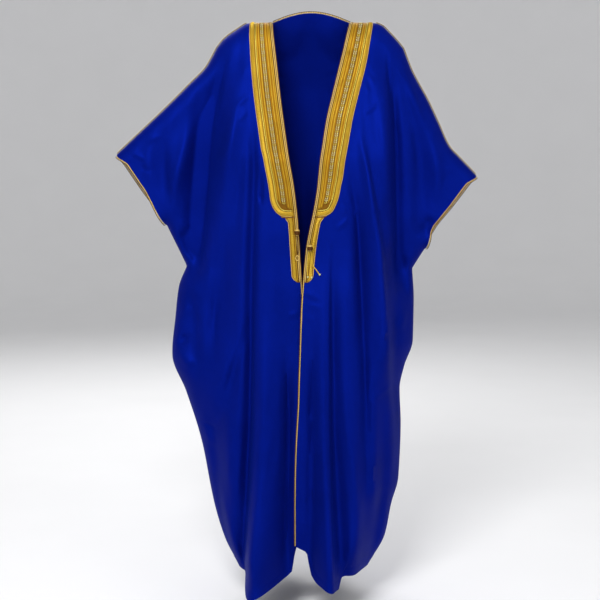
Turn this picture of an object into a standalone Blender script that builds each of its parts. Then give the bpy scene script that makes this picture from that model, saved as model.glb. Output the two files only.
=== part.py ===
"""Open-front cloak robe with gold bands, hanging as worn on a general figure.

Metres, +Z up, the front towards -Y. The origin lies midway between the two points where the
neckline crosses the shoulders. Right and left are the wearer's: the right side is at -X.
Every panel is a thin wall on one drape function, and what lies on a panel is made from the
panel's own points, moved out.
"""
import math
from typing import NamedTuple

import bmesh
import bpy
import numpy as np

# Walls and gaps
CLOTH_WALL = 0.0020
BAND_WALL = 0.0018
SEAM_GAP = 0.0004
LAY_GAP = 0.0004

# Cords, beads and ties
EDGE_CORD_RADIUS = 0.0020
SHOULDER_CORD_RADIUS = 0.0016
TIE_CORD_RADIUS = 0.0013
CORD_SIDES = 6
CORD_CLEAR = 0.0003
CUFF_OPEN = 0.20
BEAD_RADIUS = 0.0062
BEAD_LENGTH = 0.0150
BEAD_OFF = 0.0007
BEAD_SIDES = 10
BEAD_RINGS = 8
BEAD_SHOULDER = 0.80
BEAD_WAIST = 0.92
LOOP_RADIUS = 0.0042
LOOP_STRETCH = 1.35
LOOP_SEGMENTS = 12
TIE_OFF = 0.0003
TIE_STEPS = 12

# Bands
NARROW_BAND = 0.020
WIDE_BAND_END = 0.469
NARROW_BAND_END = 0.625
NECK_BAND_DEPTH = 0.052
NECK_CORD_END = 0.25
BAND_SEAM = 0.0006
STIFF_END = 0.450
STIFF_FADE = 0.080
STIFF_EDGE = 0.030

# Neck, chest and hem
NAPE_RISE = 0.030
BACK_HEM = -1.385
NECK_FORM = ((0.096, 0.030), (0.086, 0.058), (0.064, 0.080), (0.034, 0.091), (0.0, 0.094))
CHEST_FULL = 0.130
CHEST_GONE = 0.290
CHEST_REACH = 0.100
CREST_FADE = 0.120
HEM_START = 0.950
LIP_IN = 0.008
LIP_UP = 0.006
SEAM_FLAT = 0.0003
SEWN = 0.01

# Folds: where they may start, how deep they may cut, and how they widen downwards
FOLD_EDGE = 0.045
FOLD_LIMIT = 0.45
FOLD_END = 0.100
FOLD_SPREAD = 0.7
FOLD_WIDENS = 0.6
BACK_FOLD_START = 0.050
BACK_FOLD_FADE = 0.120

# Smoothness of the drawn surface
NORMAL_STEP = 0.0002
SMOOTH_ANGLE = 50

# Heights of the rows, measured down each front edge from the neck
ROWS = (
    0.000, 0.006, 0.018, 0.034, NECK_BAND_DEPTH, 0.080, 0.115, 0.150, 0.190, 0.230, 0.265,
    0.300, 0.310, 0.335, 0.370, 0.380, 0.405, 0.440, 0.456, WIDE_BAND_END, 0.480, 0.512,
    0.545, 0.580, 0.600, NARROW_BAND_END, 0.660, 0.700, 0.760, 0.820, 0.880, 0.940, 1.000,
    1.060, 1.120, 1.180, 1.240, 1.290)
HEM_DROP = ROWS[-1]

# Columns of a row: under the band, across the middle, round the turn
BAND_EDGE_COLUMN = 3
MIDDLE_COLUMNS = 12
TURN_COLUMNS = 4
TURN_SHARE = 0.45
NECK_SHARES = (0.34, 0.62, 0.82, 0.94, 1.0)
NECK_COLUMN = len(NECK_SHARES)
BAND_COLUMN = NECK_COLUMN + 1
BACK_MIDDLE_COLUMNS = 5
SHOULDER_STEPS = 60
OVER_STEPS = 120
BELOW_STEPS = 240


class Section(NamedTuple):
    """One section of a side; x is measured from the middle towards that side."""
    drop: float     # height of the front edge below the neck
    inner_x: float  # front edge
    outer_x: float  # outline: shoulder line, sleeve end, side
    outer_z: float
    seam_y: float   # where front and back meet
    turn: float     # radius of the turn from front to back
    front: float    # depth of the front before the seam
    back: float     # depth of the back behind the seam
    open: float     # 1 where the sleeve's end is open
    corner: bool    # the outline has a corner here


RIGHT_SECTIONS = (
    Section(0.000, 0.0990, 0.232, -0.059, 0.000, 0.055, 0.060, 0.062, 0, False),
    Section(0.030, 0.0965, 0.245, -0.083, 0.000, 0.054, 0.064, 0.072, 0, False),
    Section(0.060, 0.0930, 0.261, -0.109, 0.000, 0.052, 0.070, 0.084, 0, False),
    Section(0.110, 0.0870, 0.299, -0.147, 0.000, 0.047, 0.082, 0.098, 0, False),
    Section(0.180, 0.0790, 0.351, -0.198, 0.000, 0.040, 0.106, 0.112, 0, False),
    Section(0.300, 0.0625, 0.485, -0.322, 0.000, 0.036, 0.133, 0.120, 0, True),
    Section(0.330, 0.0580, 0.464, -0.352, 0.000, 0.036, 0.138, 0.121, 1, False),
    Section(0.400, 0.0460, 0.426, -0.409, 0.000, 0.038, 0.143, 0.122, 1, False),
    Section(0.480, 0.0370, 0.362, -0.498, 0.004, 0.044, 0.150, 0.120, 0, True),
    Section(0.580, 0.0305, 0.315, -0.601, 0.020, 0.062, 0.168, 0.112, 0, True),
    Section(0.650, 0.0260, 0.336, -0.655, 0.020, 0.080, 0.170, 0.114, 0, False),
    Section(0.730, 0.0240, 0.346, -0.735, 0.020, 0.105, 0.172, 0.122, 0, False),
    Section(0.820, 0.0220, 0.355, -0.825, 0.022, 0.120, 0.176, 0.130, 0, False),
    Section(0.920, 0.0205, 0.321, -0.922, 0.028, 0.125, 0.182, 0.138, 0, False),
    Section(1.050, 0.0220, 0.283, -1.052, 0.034, 0.115, 0.180, 0.148, 0, False),
    Section(1.190, 0.0270, 0.253, -1.216, 0.040, 0.105, 0.165, 0.156, 0, False),
    Section(1.245, 0.0310, 0.226, -1.311, 0.040, 0.098, 0.156, 0.160, 0, False),
    Section(1.290, 0.0350, 0.190, -1.385, 0.040, 0.092, 0.148, 0.164, 0, False),
)
LEFT_SECTIONS = (
    Section(0.000, 0.0970, 0.226, -0.062, 0.000, 0.055, 0.060, 0.062, 0, False),
    Section(0.030, 0.0890, 0.234, -0.083, 0.000, 0.054, 0.064, 0.072, 0, False),
    Section(0.060, 0.0820, 0.247, -0.115, 0.000, 0.052, 0.070, 0.084, 0, False),
    Section(0.110, 0.0695, 0.263, -0.145, 0.000, 0.050, 0.082, 0.098, 0, False),
    Section(0.180, 0.0520, 0.288, -0.189, 0.000, 0.046, 0.106, 0.112, 0, False),
    Section(0.240, 0.0380, 0.315, -0.245, 0.000, 0.040, 0.122, 0.117, 0, False),
    Section(0.300, 0.0285, 0.342, -0.301, 0.000, 0.037, 0.133, 0.120, 0, False),
    Section(0.340, 0.0225, 0.373, -0.334, 0.000, 0.036, 0.139, 0.121, 0, False),
    Section(0.370, 0.0195, 0.412, -0.374, 0.000, 0.036, 0.141, 0.122, 0, True),
    Section(0.400, 0.0165, 0.393, -0.400, 0.000, 0.036, 0.143, 0.122, 1, False),
    Section(0.460, 0.0065, 0.352, -0.455, 0.002, 0.038, 0.148, 0.121, 1, False),
    Section(0.500, -0.0020, 0.316, -0.502, 0.006, 0.044, 0.153, 0.119, 1, False),
    Section(0.545, -0.0100, 0.285, -0.559, 0.014, 0.054, 0.162, 0.116, 0, True),
    Section(0.600, -0.0155, 0.256, -0.607, 0.020, 0.066, 0.173, 0.112, 0, True),
    Section(0.690, -0.0222, 0.261, -0.689, 0.020, 0.085, 0.184, 0.118, 0, False),
    Section(0.790, -0.0255, 0.260, -0.789, 0.022, 0.105, 0.188, 0.128, 0, False),
    Section(0.860, -0.0280, 0.239, -0.857, 0.026, 0.110, 0.192, 0.134, 0, False),
    Section(0.915, -0.0295, 0.228, -0.915, 0.028, 0.112, 0.195, 0.138, 0, False),
    Section(1.018, -0.0350, 0.232, -1.018, 0.032, 0.112, 0.194, 0.146, 0, False),
    Section(1.120, -0.0380, 0.228, -1.149, 0.038, 0.108, 0.186, 0.152, 0, False),
    Section(1.190, -0.0385, 0.210, -1.222, 0.040, 0.102, 0.179, 0.156, 0, False),
    Section(1.245, -0.0385, 0.194, -1.305, 0.040, 0.095, 0.170, 0.160, 0, False),
    Section(1.290, -0.0385, 0.150, -1.385, 0.040, 0.088, 0.162, 0.164, 0, False),
)


class CrestPoint(NamedTuple):
    """A point of the shoulder line between the neck and the first outline row."""
    x: float
    z: float


RIGHT_CREST = (
    CrestPoint(0.099, 0.000), CrestPoint(0.150, 0.000), CrestPoint(0.189, -0.020),
    CrestPoint(0.216, -0.040), CrestPoint(0.232, -0.059))
LEFT_CREST = (
    CrestPoint(0.097, 0.000), CrestPoint(0.152, 0.000), CrestPoint(0.172, -0.006),
    CrestPoint(0.192, -0.024), CrestPoint(0.211, -0.044), CrestPoint(0.226, -0.062))


class HemPoint(NamedTuple):
    """How far the hem hangs below a straight line, across a front panel from its edge."""
    across: float
    drop: float


RIGHT_HEM = (
    HemPoint(0.00, 0.000), HemPoint(0.11, 0.040), HemPoint(0.25, 0.060), HemPoint(0.50, 0.056),
    HemPoint(0.75, 0.028), HemPoint(1.00, 0.000))
LEFT_HEM = (
    HemPoint(0.00, 0.000), HemPoint(0.12, 0.030), HemPoint(0.24, 0.062), HemPoint(0.50, 0.050),
    HemPoint(0.68, 0.018), HemPoint(1.00, 0.000))


class BandRow(NamedTuple):
    """Width of the wide band, and of the column that carries its edge on below it."""
    drop: float
    right: float
    left: float


BAND_ROWS = (
    BandRow(0.000, 0.057, 0.060), BandRow(0.080, 0.059, 0.059), BandRow(0.200, 0.060, 0.059),
    BandRow(0.425, 0.059, 0.053), BandRow(0.440, 0.056, 0.050), BandRow(0.456, 0.047, 0.045),
    BandRow(WIDE_BAND_END, 0.034, 0.030), BandRow(0.530, 0.048, 0.048),
    BandRow(0.620, 0.058, 0.058), BandRow(1.290, 0.046, 0.050))


class BackColumn(NamedTuple):
    """Distance from the middle of the back of the columns at the neck and the band's edge."""
    drop: float
    neck: float
    band: float


BACK_COLUMNS = (
    BackColumn(0.000, 0.098, 0.151), BackColumn(0.006, 0.097, 0.150),
    BackColumn(0.018, 0.093, 0.144), BackColumn(0.034, 0.086, 0.128),
    BackColumn(NECK_BAND_DEPTH, 0.078, 0.098), BackColumn(0.115, 0.090, 0.125),
    BackColumn(0.600, 0.085, 0.120), BackColumn(1.290, 0.056, 0.080))


class Fold(NamedTuple):
    """A trough or ridge: its line through three points, its rise, and its two flanks."""
    top_x: float
    top_z: float
    mid_x: float
    mid_z: float
    low_x: float
    low_z: float
    rise_mid: float
    rise_low: float
    outer_flank: float
    inner_flank: float
    lean: float


RIGHT_FOLDS = (
    # shoulder, sleeve and underarm
    Fold(0.236, -0.085, 0.268, -0.280, 0.276, -0.540, -0.022, -0.020, 0.034, 0.036, 0.0),
    Fold(0.285, -0.200, 0.338, -0.370, 0.345, -0.520, 0.016, 0.0, 0.028, 0.026, 0.0),
    Fold(0.176, -0.080, 0.205, -0.330, 0.272, -0.600, 0.016, 0.018, 0.034, 0.036, 0.0),
    # side of the skirt
    Fold(0.203, -0.480, 0.228, -0.680, 0.250, -0.860, -0.016, 0.0, 0.024, 0.030, 0.0),
    Fold(0.316, -0.640, 0.303, -0.780, 0.288, -0.880, -0.014, 0.0, 0.020, 0.022, 0.0),
    Fold(0.160, -0.780, 0.205, -0.930, 0.262, -1.060, -0.012, 0.0, 0.022, 0.026, 0.0),
    # long fold from the band to the hem, and the trough behind its outer edge
    Fold(0.100, -0.520, 0.104, -0.950, 0.112, -1.420, 0.024, 0.078, 0.036, 0.034, 0.30),
    Fold(0.135, -0.170, 0.146, -0.620, 0.166, -1.420, -0.018, -0.030, 0.016, 0.014, 0.0),
    Fold(0.058, -0.700, 0.056, -1.000, 0.056, -1.420, -0.010, -0.012, 0.014, 0.014, 0.0),
    Fold(0.205, -0.900, 0.205, -1.150, 0.200, -1.420, 0.016, 0.022, 0.020, 0.020, 0.0),
)
LEFT_FOLDS = (
    # shoulder, sleeve and underarm
    Fold(0.198, -0.075, 0.207, -0.300, 0.212, -0.560, -0.022, -0.022, 0.024, 0.022, 0.0),
    Fold(0.255, -0.160, 0.302, -0.330, 0.315, -0.470, 0.014, 0.0, 0.026, 0.026, 0.0),
    Fold(0.165, -0.090, 0.176, -0.300, 0.180, -0.500, 0.012, 0.0, 0.022, 0.024, 0.0),
    # long ridge from the band's foot to the side, with the trough before it
    Fold(0.112, -0.240, 0.160, -0.560, 0.206, -1.080, 0.022, 0.010, 0.014, 0.022, 0.2),
    Fold(0.088, -0.330, 0.119, -0.650, 0.138, -1.300, -0.018, -0.010, 0.020, 0.018, 0.0),
    # front fold from the band to the hem, and the trough along its outer edge
    Fold(0.024, -0.480, 0.028, -0.900, 0.036, -1.420, 0.018, 0.062, 0.023, 0.024, 0.22),
    Fold(0.054, -0.470, 0.058, -0.850, 0.070, -1.420, -0.014, -0.014, 0.016, 0.014, 0.0),
    Fold(0.100, -0.900, 0.108, -1.150, 0.116, -1.420, 0.014, 0.020, 0.020, 0.020, 0.0),
    Fold(0.178, -0.850, 0.172, -1.100, 0.160, -1.420, -0.012, -0.016, 0.018, 0.018, 0.0),
)
BACK_FOLDS = (
    # from the right side to the left, x towards the left side
    Fold(-0.255, -0.120, -0.278, -0.330, -0.275, -0.540, -0.018, -0.014, 0.036, 0.036, 0.0),
    Fold(-0.205, -0.140, -0.235, -0.600, -0.215, -1.420, 0.018, 0.030, 0.032, 0.034, 0.0),
    Fold(-0.150, -0.160, -0.165, -0.700, -0.150, -1.420, -0.020, -0.028, 0.026, 0.026, 0.0),
    Fold(-0.085, -0.260, -0.088, -0.800, -0.085, -1.420, 0.016, 0.032, 0.030, 0.028, 0.0),
    Fold(-0.026, -0.200, -0.022, -0.750, -0.020, -1.420, -0.016, -0.026, 0.026, 0.024, 0.0),
    Fold(0.040, -0.300, 0.046, -0.850, 0.046, -1.420, 0.016, 0.030, 0.028, 0.026, 0.0),
    Fold(0.096, -0.180, 0.106, -0.700, 0.102, -1.420, -0.020, -0.026, 0.024, 0.026, 0.0),
    Fold(0.158, -0.150, 0.172, -0.620, 0.156, -1.420, 0.018, 0.026, 0.026, 0.028, 0.0),
    Fold(0.206, -0.110, 0.214, -0.330, 0.212, -0.540, -0.018, -0.014, 0.030, 0.030, 0.0),
)

# Ties: the beads' places down the front edges, and in from them
RIGHT_BEAD_DROP = 0.505
LEFT_BEAD_DROP = 0.542
LEFT_BEAD_ACROSS = 0.005


class TiePoint(NamedTuple):
    """A point of a hanging tie, from the bead: to the left, down, and off the cloth."""
    left: float
    down: float
    off: float


RIGHT_TIE = (
    TiePoint(0.0000, 0.0079, 0.0046), TiePoint(0.0012, 0.0180, 0.0004),
    TiePoint(0.0018, 0.0320, 0.0000), TiePoint(0.0016, 0.0440, 0.0000),
    TiePoint(0.0008, 0.0540, 0.0001))
LEFT_TIES = (
    (TiePoint(-0.0032, 0.0080, 0.0040), TiePoint(-0.0042, 0.0220, 0.0002),
     TiePoint(-0.0050, 0.0400, 0.0000), TiePoint(-0.0056, 0.0560, 0.0001),
     TiePoint(-0.0052, 0.0700, 0.0002)),
    (TiePoint(0.0000, 0.0079, 0.0046), TiePoint(0.0000, 0.0240, 0.0003),
     TiePoint(0.0008, 0.0420, 0.0000), TiePoint(0.0032, 0.0560, 0.0001),
     TiePoint(0.0044, 0.0710, 0.0003)),
    (TiePoint(0.0032, 0.0080, 0.0040), TiePoint(0.0046, 0.0240, 0.0002),
     TiePoint(0.0080, 0.0420, 0.0000), TiePoint(0.0150, 0.0520, 0.0002),
     TiePoint(0.0235, 0.0640, 0.0004)),
)

# Colours as the render's linear values: colour, roughness, metallic
FINISHES = {
    "blue_cloth": ((0.004, 0.016, 0.230), 0.55, 0.0),
    "gold_band": ((0.610, 0.330, 0.050), 0.42, 0.55),
    "gold_cord": ((0.560, 0.330, 0.110), 0.45, 0.50),
    "brown_cord": ((0.260, 0.110, 0.045), 0.50, 0.30),
}


def clear_objects():
    """Start from an empty scene."""
    for thing in list(bpy.data.objects):
        bpy.data.objects.remove(thing)


def finish(name):
    """The material of this name, made once."""
    if name in bpy.data.materials:
        return bpy.data.materials[name]
    colour, roughness, metallic = FINISHES[name]
    material = bpy.data.materials.new(name)
    material.use_nodes = True
    surface = material.node_tree.nodes["Principled BSDF"]
    surface.inputs["Base Color"].default_value = (*colour, 1.0)
    surface.inputs["Roughness"].default_value = roughness
    surface.inputs["Metallic"].default_value = metallic
    return material


def ease(value):
    """0 to 1 with soft ends."""
    value = np.clip(value, 0.0, 1.0)
    return value * value * (3.0 - 2.0 * value)


def flowing(stations, values, at, corners=()):
    """A curve through the stations that never overshoots, smooth but at its corners."""
    stations = np.asarray(stations, float)
    values = np.asarray(values, float)
    steps = np.diff(stations)
    slopes = np.diff(values) / steps
    product = slopes[:-1] * slopes[1:]
    total = np.where(product > 0.0, slopes[:-1] + slopes[1:], 1.0)
    middle = np.where(product > 0.0, 2.0 * product / total, 0.0)
    leaving = np.concatenate(([slopes[0]], middle, [slopes[-1]]))
    arriving = leaving.copy()
    for index in corners:
        arriving[index] = slopes[index - 1]
        leaving[index] = slopes[index]
    at = np.clip(np.asarray(at, float), stations[0], stations[-1])
    index = np.clip(np.searchsorted(stations, at, side="right") - 1, 0, len(steps) - 1)
    step = steps[index]
    t = (at - stations[index]) / step
    return ((1.0 + 2.0 * t) * (1.0 - t) ** 2 * values[index]
            + t * (1.0 - t) ** 2 * step * leaving[index]
            + t * t * (3.0 - 2.0 * t) * values[index + 1]
            + t * t * (t - 1.0) * step * arriving[index + 1])


def from_table(table, column, at, key="drop"):
    """One named column of a table, read between its rows."""
    corners = ()
    if column in ("outer_x", "outer_z"):
        corners = [i for i, row in enumerate(table) if row.corner]
    stations = [getattr(row, key) for row in table]
    return flowing(stations, [getattr(row, column) for row in table], at, corners)


class Side:
    """One side of the robe: its tables and its outline."""

    def __init__(self, sign, sections, crest, hem, band_column):
        self.sign = sign
        self.sections = sections
        self.crest = crest
        self.hem = hem
        self.band_column = band_column
        self.tip, self.cuff_end = [row.drop for row in sections if row.corner][:2]
        shoulder_x = np.linspace(crest[0].x, crest[-1].x, SHOULDER_STEPS)[:-1]
        shoulder = np.stack((shoulder_x, self.crest_z(shoulder_x)), axis=-1)
        over = np.concatenate((shoulder, self.outline_points(0.0, self.tip, OVER_STEPS)))
        below = self.outline_points(self.cuff_end, sections[-1].drop, BELOW_STEPS)
        self.seams = (over, below)
        self.back_seams = (np.concatenate((np.array(NECK_FORM[::-1]), over)), below)

    def at(self, column, drop):
        return from_table(self.sections, column, drop)

    def outline_points(self, first, last, count):
        drops = np.linspace(first, last, count)
        return np.stack((self.at("outer_x", drops), self.at("outer_z", drops)), axis=-1)

    def crest_z(self, x):
        return from_table(self.crest, "z", x, key="x")

    def band(self, drop):
        return from_table(BAND_ROWS, self.band_column, drop)


RIGHT = Side(-1, RIGHT_SECTIONS, RIGHT_CREST, RIGHT_HEM, "right")
LEFT = Side(1, LEFT_SECTIONS, LEFT_CREST, LEFT_HEM, "left")


def distance_to(seams, x, z):
    """Shortest distance in front view from each point to the sewn outline."""
    points = np.stack((x, z), axis=-1)[..., None, :]
    reach = np.inf
    for seam in seams:
        start = seam[:-1]
        run = np.diff(seam, axis=0)
        length = np.maximum((run ** 2).sum(axis=1), 1e-12)
        along = np.clip(((points - start) * run).sum(axis=-1) / length, 0.0, 1.0)
        nearest = start + along[..., None] * run
        apart = np.sqrt(((points - nearest) ** 2).sum(axis=-1)).min(axis=-1)
        reach = np.minimum(reach, apart)
    return np.maximum(reach - SEAM_FLAT, 0.0)


def fold_rise(fold, x, z):
    """How far one fold lifts the cloth at each point."""
    heights = (-fold.top_z, -fold.mid_z, -fold.low_z)
    line = flowing(heights, (fold.top_x, fold.mid_x, fold.low_x), -z)
    upper = fold.rise_mid * ease((fold.top_z - z) / (fold.top_z - fold.mid_z))
    lower = ease((fold.mid_z - z) / (fold.mid_z - fold.low_z))
    rise = upper + (fold.rise_low - fold.rise_mid) * lower
    away = x - line
    flank = np.where(away > 0.0, fold.outer_flank, fold.inner_flank)
    spread = FOLD_SPREAD + FOLD_WIDENS * np.clip((fold.top_z - z) / (fold.top_z - fold.low_z), 0.0, 1.0)
    lasts = ease(1.0 + (z - fold.low_z) / FOLD_END)
    return rise * lasts * np.exp(-(away / (flank * spread)) ** 2)


def folded(folds, x, z, hold):
    """Sideways shift and lift of all folds together, held still where hold is 0."""
    shift = np.zeros_like(x)
    lift = np.zeros_like(x)
    for fold in folds:
        rise = hold * fold_rise(fold, x, z)
        lift = lift + rise
        shift = shift + fold.lean * np.maximum(rise, 0.0)
    return shift, lift


def turned(reach, turn):
    """Depth of the quarter turn at a seam."""
    share = np.clip(reach / turn, 0.0, 1.0)
    return turn * np.sqrt(np.clip(1.0 - (1.0 - share) ** 2, 0.0, 1.0))


def front_point(side, drop, width):
    """Point of a front panel: how far down its edge, and how far in from it."""
    opened = side.at("open", drop)
    inner_x = side.at("inner_x", drop)
    outer_x = side.at("outer_x", drop)
    outer_z = side.at("outer_z", drop)
    outer_x = outer_x - LIP_IN * opened
    outer_z = outer_z + LIP_UP * opened
    across = width / row_length(side, drop)
    chord_z = -drop + (outer_z + drop) * across
    x = inner_x + (outer_x - inner_x) * across
    first_x = side.crest[0].x + (side.crest[-1].x - side.crest[0].x) * across
    bulge = side.crest_z(first_x) - side.crest[-1].z * across
    hang = from_table(side.hem, "drop", across, key="across")
    z = (chord_z + bulge * (1.0 - ease(drop / CREST_FADE))
         - hang * ease((drop - HEM_START) / (HEM_DROP - HEM_START)))
    reach = distance_to(side.seams, x, z)
    turn = side.at("turn", drop)
    chest = ease((CHEST_GONE - x) / (CHEST_GONE - CHEST_FULL)) * ease(reach / CHEST_REACH)
    depth = (SEAM_GAP / 2 + turned(reach, turn)
             + (side.at("front", drop) - turn) * chest)
    band = side.band(drop)
    on_band = 1.0 - ease((drop - STIFF_END) / STIFF_FADE)
    stiff = 1.0 - on_band * (1.0 - ease((width - band) / STIFF_EDGE))
    hold = stiff * ease(reach / FOLD_EDGE)
    shift, lift = folded(RIGHT_FOLDS if side is RIGHT else LEFT_FOLDS, x, z, hold)
    lift = np.maximum(lift, -FOLD_LIMIT * depth)
    y = side.at("seam_y", drop) - depth - lift
    return np.stack((side.sign * (x + shift), y, z), axis=-1)


def row_length(side, drop):
    """Length of a front panel's row in front view."""
    run = side.at("outer_x", drop) - side.at("inner_x", drop)
    rise = side.at("outer_z", drop) + drop
    return np.sqrt(run ** 2 + rise ** 2)


def back_point(side, drop, width):
    """Point of the back panel: how far down, and how far out from its middle line."""
    outer_x = side.at("outer_x", drop)
    outer_z = side.at("outer_z", drop)
    middle_z = NAPE_RISE + drop * (BACK_HEM - NAPE_RISE) / HEM_DROP
    across = width / outer_x
    x = width
    neck_x = side.crest[0].x
    first_x = side.crest[-1].x * across
    neckline = NAPE_RISE * (1.0 - (np.minimum(first_x, neck_x) / neck_x) ** 2)
    first_z = np.where(first_x < neck_x, neckline, side.crest_z(first_x))
    first_chord = NAPE_RISE + (side.crest[-1].z - NAPE_RISE) * across
    bulge = (first_z - first_chord) * (1.0 - ease(drop / CREST_FADE))
    z = middle_z + (outer_z - middle_z) * across + bulge
    reach = distance_to(side.back_seams, x, z)
    turn = side.at("turn", drop)
    blade = ease((CHEST_GONE - x) / (CHEST_GONE - CHEST_FULL)) * ease(reach / CHEST_REACH)
    depth = (SEAM_GAP / 2 + turned(reach, turn)
             + (side.at("back", drop) - turn) * blade)
    hold = ease(reach / FOLD_EDGE) * ease((drop - BACK_FOLD_START) / BACK_FOLD_FADE)
    signed_x = side.sign * x
    shift, lift = folded(BACK_FOLDS, signed_x, z, hold)
    lift = np.maximum(lift, -FOLD_LIMIT * depth)
    y = side.at("seam_y", drop) + depth + lift
    return np.stack((signed_x + shift, y, z), axis=-1)


def front_widths(side, drop):
    """Widths in from the front edge of the columns of one row."""
    length = row_length(side, drop)
    band = side.band(drop)
    turn = min(side.at("turn", drop), TURN_SHARE * (length - band))
    flat = length - band - turn
    inner = [0.0, NARROW_BAND, 0.5 * (NARROW_BAND + band), band]
    middle = [band + flat * i / MIDDLE_COLUMNS for i in range(1, MIDDLE_COLUMNS + 1)]
    return np.array(inner + middle + turn_widths(length, turn))


def turn_widths(length, turn):
    """Widths of the columns round the turn, at even angles, out to the outline."""
    angles = [math.pi / 2 * (1.0 - i / TURN_COLUMNS) for i in range(1, TURN_COLUMNS + 1)]
    return [length - turn * (1.0 - math.cos(angle)) for angle in angles]


def back_widths(side, drop):
    """Widths out from the middle of the back of the columns of one row."""
    length = side.at("outer_x", drop)
    neck = from_table(BACK_COLUMNS, "neck", drop)
    band = from_table(BACK_COLUMNS, "band", drop)
    turn = min(side.at("turn", drop), TURN_SHARE * (length - band))
    flat = length - band - turn
    inner = [0.0] + [share * neck for share in NECK_SHARES] + [band]
    middle = [band + flat * i / BACK_MIDDLE_COLUMNS for i in range(1, BACK_MIDDLE_COLUMNS + 1)]
    return np.array(inner + middle + turn_widths(length, turn))


def normals(point, side, drops, widths, limits):
    """Outward normals of a panel at each grid point, from small steps along its surface."""
    low = np.maximum(drops - NORMAL_STEP, 0.0)
    high = np.minimum(drops + NORMAL_STEP, HEM_DROP)
    near = np.maximum(widths - NORMAL_STEP, 0.0)
    far = np.minimum(widths + NORMAL_STEP, limits)
    down = point(side, high, widths) - point(side, low, widths)
    out = point(side, drops, far) - point(side, drops, near)
    normal = np.cross(down, out)
    normal = normal / np.maximum(np.linalg.norm(normal, axis=-1, keepdims=True), 1e-12)
    return normal * side.sign


class Panel(NamedTuple):
    """A panel's grid, rows by columns: outer points, outward normals."""
    points: np.ndarray
    normals: np.ndarray


def square_to_seam(side, points, normal, closed):
    """Where two panels are sewn, the wall turns square to the seam line."""
    along = tangents(points * (1.0, 0.0, 1.0))
    square = side.sign * np.stack((-along[:, 2], 0.0 * along[:, 1], along[:, 0]), axis=-1)
    return np.where(closed[:, None], square, normal)


def unit(vectors):
    return vectors / np.maximum(np.linalg.norm(vectors, axis=-1, keepdims=True), 1e-12)


def tangents(points):
    """Direction along a path at each of its points."""
    steps = unit(np.diff(points, axis=0))
    return unit(np.concatenate((steps[:1], steps[:-1] + steps[1:], steps[-1:])))


def square_seams(side, drops, points, normal, first):
    """Square the wall along the shoulder, from column first, and down the outline."""
    closed = side.at("open", drops[:, -1]) < SEWN
    normal[:, -1] = square_to_seam(side, points[:, -1], normal[:, -1], closed)
    shoulder = np.concatenate((points[0, first:], points[1:2, -1]))
    sewn = np.ones(len(shoulder), bool)
    normal[0, first:] = square_to_seam(side, shoulder, shoulder, sewn)[:-1]


def front_panel(side):
    """Grid of a front panel, from its edge out to the seam."""
    widths = np.array([front_widths(side, drop) for drop in ROWS])
    drops = np.repeat(np.array(ROWS)[:, None], widths.shape[1], axis=1)
    limits = row_length(side, drops)
    points = front_point(side, drops, widths)
    normal = normals(front_point, side, drops, widths, limits)
    square_seams(side, drops, points, normal, 0)
    return Panel(points, normal)


def back_half(side):
    """Grid of half of the back, from the middle line out to the seam."""
    widths = np.array([back_widths(side, drop) for drop in ROWS])
    drops = np.repeat(np.array(ROWS)[:, None], widths.shape[1], axis=1)
    limits = side.at("outer_x", drops)
    points = back_point(side, drops, widths)
    normal = -normals(back_point, side, drops, widths, limits)
    square_seams(side, drops, points, normal, NECK_COLUMN)
    return Panel(points, normal)


def back_panel():
    """Grid of the whole back, from the right seam to the left one."""
    right = back_half(RIGHT)
    left = back_half(LEFT)
    middle = 0.5 * (right.points[:, :1] + left.points[:, :1])
    middle_normal = right.normals[:, :1] + left.normals[:, :1]
    middle_normal[..., 0] = 0.0
    middle_normal /= np.linalg.norm(middle_normal, axis=-1, keepdims=True)
    points = np.concatenate((right.points[:, :0:-1], middle, left.points[:, 1:]), axis=1)
    normal = np.concatenate(
        (right.normals[:, :0:-1], middle_normal, left.normals[:, 1:]), axis=1)
    return Panel(points, normal)


def add_object(name, bm, finish_name):
    """Put a closed mesh in the scene under its own name."""
    bmesh.ops.recalc_face_normals(bm, faces=bm.faces[:])
    mesh = bpy.data.meshes.new(name)
    bm.to_mesh(mesh)
    bm.free()
    mesh.materials.append(finish(finish_name))
    mesh.shade_smooth()
    mesh.set_sharp_from_angle(angle=math.radians(SMOOTH_ANGLE))
    thing = bpy.data.objects.new(name, mesh)
    bpy.context.scene.collection.objects.link(thing)
    return thing


def add_wall(name, outer, inner, finish_name):
    """A thin closed wall between two equal grids of points."""
    rows, columns = outer.shape[:2]
    bm = bmesh.new()
    place = bm.verts.layers.int.new("place")
    bmesh.ops.create_grid(bm, x_segments=columns - 1, y_segments=rows - 1, size=0.5)
    for vert in bm.verts:
        row = round((vert.co.y + 0.5) * (rows - 1))
        column = round((vert.co.x + 0.5) * (columns - 1))
        vert[place] = row * columns + column
    bmesh.ops.triangulate(bm, faces=bm.faces[:], quad_method="FIXED")
    raised = bmesh.ops.extrude_face_region(bm, geom=bm.faces[:])["geom"]
    top = {item for item in raised if isinstance(item, bmesh.types.BMVert)}
    for vert in bm.verts:
        grid = outer if vert in top else inner
        vert.co = grid[divmod(vert[place], columns)]
    return add_object(name, bm, finish_name)


def add_panel(name, panel):
    """A cloth panel: its wall lies inside its outer points."""
    add_wall(name, panel.points, panel.points - panel.normals * CLOTH_WALL, "blue_cloth")


def add_band(name, panel, rows, columns):
    """A band on a panel: the panel's own points in these rows and columns, moved out."""
    points = panel.points[rows, columns]
    normal = panel.normals[rows, columns]
    add_wall(name, points + normal * (LAY_GAP + BAND_WALL), points + normal * LAY_GAP,
             "gold_band")


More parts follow.
